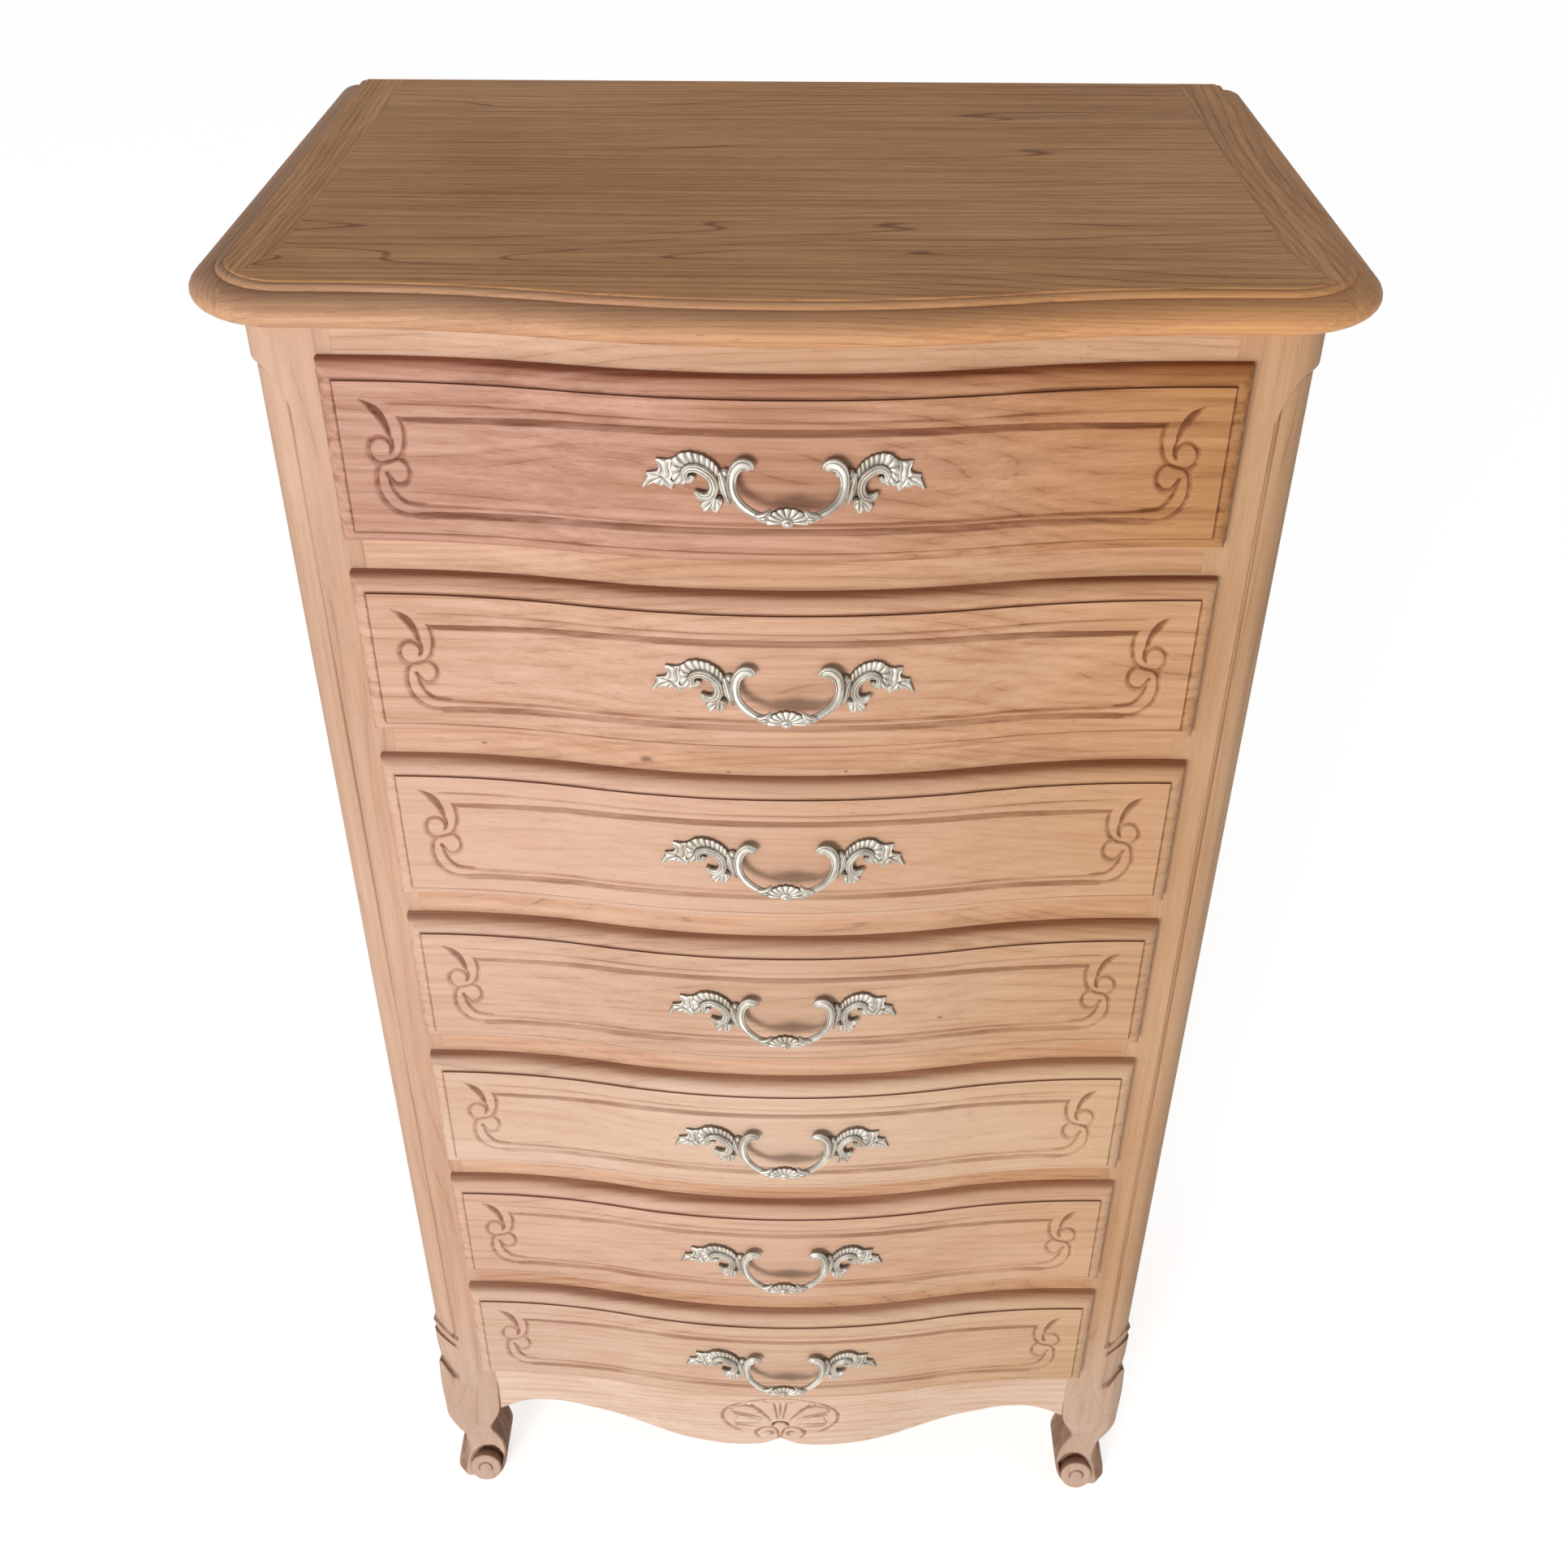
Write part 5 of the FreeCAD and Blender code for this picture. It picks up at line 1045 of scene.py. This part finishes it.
def top_finish():
    """The wood of the top in three runs of boards: grain along x in field and strip, along y at the ends; seams are
    dark. On the nose the figure is halved and the tone rosier to the left."""
    made = Finish("top_wood")
    place = made.place()
    x, y, z = made.axes(place)
    before = (face_y + STRIP_BACK) * MM - y
    beyond = abs(x) - before.calc("MAXIMUM", before, 0.0) * (MITRE_RUN / STRIP_BACK) - SEAM_X * MM
    end, strip = (made.rise(way, -BLUR, BLUR) for way in (beyond, before))

    def boards(grain, spot):
        rings, hairline, streaks, fibres, flecks = grain_of(made, place, grain, spot, 60.0)
        coarse = made.noise(drawn_out(made, place, grain, 0.02, spot), 330.0, 2.0, 0.6)
        return rings * 0.1 + streaks * 0.35 + hairline * 0.6 + (fibres - 0.5) * 1.1 + (coarse - 0.5) * 0.75 \
            + flecks * 0.5 + 0.13

    field, front_strip, ends = (boards(grain, spot) for grain, spot in (
        ("x", (0.4, 0.3, 0)), ("x", (2.7, 1.9, 0)), ("y", (1.2, 0.8, 0))))
    lengthwise = field + (front_strip - field) * strip
    nose = made.rise(z, NOSE_HIGH, NOSE_LOW)
    depth = (lengthwise + (ends - lengthwise) * end - MEAN_DEPTH) * (1 - nose * 0.5) + MEAN_DEPTH
    mitre, joint = (made.rise(abs(way), SEAM_OUTER, SEAM_INNER) for way in (beyond, before))
    seam = mitre + joint * (1 - end)
    patches = made.noise(place, 6.0, 3.0)
    tone = made.blend(depth + (patches - 0.5) * 0.5, linear(248, 185, 125), linear(158, 100, 58))
    tone = made.tint(nose * made.rise(x, 0.3, -0.25), tone, ROSY)
    tone = made.blend(seam * 0.34, tone, linear(84, 54, 36))
    # Old varnish and painted shade in the quirks, on the band under the bead and under the nose.
    tone = made.blend(made.rise(made.recess() + (patches - 0.5) * 0.5, 0.2, 1.0) * 0.7, tone, DARK_BROWN)
    bump = made.node("Bump", None, {"Strength": 0.3, "Distance": 0.0006, "Height": depth * 0.5 - seam})
    return made.surface({"Base Color": tone, "Roughness": 0.58 + (patches - 0.5) * 0.2,
                         "Specular IOR Level": 0.35, "Normal": bump})


top_wood = top_finish()
print("nodes in the finish of the top:", len(top_wood.node_tree.nodes))

# %% The moulding and the flat of the top
TOP_BACK, CORNER, CORNER_X = 415.0, 35.0, 286.0
PROFILE = (  # out from the body line, height, old varnish and painted shade
    (6.4, 1230.0, 0), (7.4, 1229.9, 0), (7.9, 1229.5, 0.1), (8.1, 1229.0, 0.35), (8.9, 1229.1, 0.1),
    (10.2, 1229.1, 0), (11.6, 1228.6, 0), (12.7, 1227.6, 0), (13.2, 1226.6, 0.1), (13.3, 1225.9, 0.5),
    (13.9, 1225.6, 0.6), (14.8, 1225.7, 0.3), (17.0, 1225.6, 0.1), (19.6, 1225.1, 0), (22.2, 1224.3, 0),
    (24.6, 1223.1, 0), (26.8, 1221.6, 0), (28.6, 1219.6, 0), (29.7, 1217.4, 0), (30.0, 1215.2, 0),
    (29.5, 1213.1, 0), (28.2, 1211.1, 0), (26.0, 1209.2, 0), (23.2, 1207.9, 0), (20.4, 1207.2, 0.2),
    (18.6, 1207.0, 0.4))


def top_path():
    """The body line in plan, left back to right back, with its outward direction: side, corner arc, bow, mirrored."""
    side_y = np.linspace(TOP_BACK, CORNER, 24, endpoint=False)
    turn = np.linspace(0, pi / 2, 22, endpoint=False)
    s = np.linspace(-CORNER_X, 0, 90)
    front = on_bow(s, 0, 0)
    toward = on_bow(s, 1, 0) - front
    corner = np.column_stack([-CORNER_X - CORNER * np.cos(turn), CORNER - CORNER * np.sin(turn)])
    half = np.concatenate([np.column_stack([0 * side_y - POST_OUT, side_y]), corner, front[:, :2]])
    out = np.concatenate([np.column_stack([0 * side_y - 1, 0 * side_y]),
                          np.column_stack([-np.cos(turn), -np.sin(turn)]), toward[:, :2]])
    return np.concatenate([half, half[-2::-1] * [-1, 1]]), np.concatenate([out, out[-2::-1] * [-1, 1]])


top_line, top_out = top_path()
profile = np.array(PROFILE)
around = top_line[:, None] + top_out[:, None] * profile[None, :, :1]
moulding = np.dstack([around, np.broadcast_to(profile[None, :, 1], around.shape[:2])])
top_sheet = sheet(moulding, np.broadcast_to(profile[None, :, 2], moulding.shape[:2]))
turns, steps = moulding.shape[:2]
number = np.arange(turns * steps).reshape(turns, steps)
top_sheet[2].extend([number[:, 0], number[::-1, -1], np.concatenate([number[0], number[-1, ::-1]])])
top = piece("top_moulded", [top_sheet], "carcass", top_wood,
            ["top_field", "top_front_strip", "top_end_left", "top_end_right"], crease=40)
print("top of", len(top.data.polygons), "faces")

# %% [markdown]
# ## Finishes on the CAD nodes that stay
# Side panels, back, drawer boxes, runners and rear posts have the right shape already. They keep their meshes
# and get the wood that suits the way their grain runs.

# %% Finishes by node
for name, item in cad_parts.items():
    if name.endswith("_screws"):
        finish = screw_steel
    elif name.endswith("_sides") or name in ("drawer_runners", "top_kickers"):
        finish = inner_wood
    elif name.endswith(("_back", "_bottom")) or name in ("back_panel", "back_rails"):
        finish = inner_cross_wood
    elif name == "side_rails":
        finish = side_rail_wood
    elif name.startswith("side_panel"):
        finish = side_wood
    elif name.startswith("rear_post"):
        finish = post_wood
    else:
        continue
    item.data.materials.clear()
    item.data.materials.append(finish)
print("CAD nodes finished:", sum(1 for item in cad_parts.values() if not item.hide_render))

# %% [markdown]
# ## Floor, light and camera
# The photograph has a white ground with a faint shadow, and soft light from the front that leaves the top a
# little darker. A shadow catcher would need a compositor to put white behind it. So the floor is pale and adds a
# little of its own white for what the camera or a reflection sees: it stays white while the object's shadow
# still falls on it. The sky is white to the camera, and dimmer overhead than near the ground for the light.

# %% The floor
FLOOR_GLOW, FLOOR_HALF = 0.67, 12


def floor_finish():
    """Pale matt floor, with some white added only on rays that come from the camera, a reflection or glass."""
    made = Finish("floor_paper")
    camera, glossy, glass = (made.node("LightPath", None, None, f"Is {kind} Ray")
                             for kind in ("Camera", "Glossy", "Transmission"))
    glow = made.node("Emission", None, {"Color": (1, 1, 1, 1), "Strength": (camera + glossy + glass) * FLOOR_GLOW})
    matt = made.node("BsdfDiffuse", None, {"Color": (0.9, 0.9, 0.9, 1)})
    return made.led_out(made.node("AddShader", None, {0: glow, 1: matt}))


floor_mesh = bpy.data.meshes.new("floor")
floor_mesh.from_pydata([(FLOOR_HALF * x, FLOOR_HALF * y, 0) for x, y in ((-1, -1), (1, -1), (1, 1), (-1, 1))],
                       [], [(0, 1, 2, 3)])
floor_mesh.materials.append(floor_finish())
floor = bpy.data.objects.new("floor", floor_mesh)
bpy.context.scene.collection.objects.link(floor)
print("floor of", 2 * FLOOR_HALF, "m")

# %% The light
SKY_LEVEL, SKY_ZENITH = 0.5, 0.275


def facing_frame(right, up, look, place):
    """Matrix of a lamp or camera at `place`: its x is right, its y is up, and it looks along -z."""
    return Matrix(np.vstack([np.column_stack([right, up, -look, place]), [0, 0, 0, 1]]).tolist())


def soft_lamp(name, place, aim, size, power):
    """Square area lamp at `place`, turned to look at `aim`."""
    lamp = bpy.data.lights.new(name, "AREA")
    lamp.size, lamp.energy = size, power
    item = bpy.data.objects.new(name, lamp)
    bpy.context.scene.collection.objects.link(item)
    look = (np.array(aim) - np.array(place)) / np.linalg.norm(np.array(aim) - np.array(place))
    right = np.cross(look, [0, 0, 1.0])
    right /= np.linalg.norm(right)
    item.matrix_world = facing_frame(right, np.cross(right, look), look, place)


world = bpy.data.worlds.new("studio")
bpy.context.scene.world = world
sky = Finish("studio", world)
[upward] = sky.axes(sky.node("TexCoord", None, None, "Generated"), "Z")
level = sky.node("MapRange", None, {"Value": upward, "To Min": SKY_LEVEL, "To Max": SKY_ZENITH})
seen = sky.node("Mix", None, {"Factor": sky.node("LightPath", None, None, "Is Camera Ray"), "A": level, "B": 1.0})
sky.led_out(sky.node("Background", None, {"Color": (1, 1, 1, 1), "Strength": seen}), "OutputWorld")
soft_lamp("front_window", place=(-1.25, -3.3, 1.0), aim=(0, 0, 0.65), size=1.2, power=72)
print("light set:", [item.name for item in bpy.data.lights])

# %% Camera
def photo_camera(place, yaw, pitch, roll, lens, shift):
    """Camera from its turn: the view runs along (sin yaw cos pitch, cos yaw cos pitch, -sin pitch), then rolls."""
    look = np.array([sin(yaw) * cos(pitch), cos(yaw) * cos(pitch), -sin(pitch)])
    right = np.array([cos(yaw), -sin(yaw), 0])
    up = np.cross(right, look)
    right, up = right * cos(roll) + up * sin(roll), up * cos(roll) - right * sin(roll)
    data = bpy.data.cameras.new("photo_camera")
    data.sensor_width, data.lens, data.shift_y = 36.0, lens, shift
    item = bpy.data.objects.new("photo_camera", data)
    bpy.context.scene.collection.objects.link(item)
    item.matrix_world = facing_frame(right, up, look, place)
    bpy.context.scene.camera = item
    return item


camera = photo_camera(place=(0.011, (face_y - 915.5) * MM, 1.5825), yaw=radians(-0.63), pitch=radians(34.31),
                      roll=radians(0.17), lens=38.45, shift=-0.0704)
bpy.context.scene.view_settings.view_transform = "Standard"
print("camera with a lens of", round(camera.data.lens, 2), "mm")
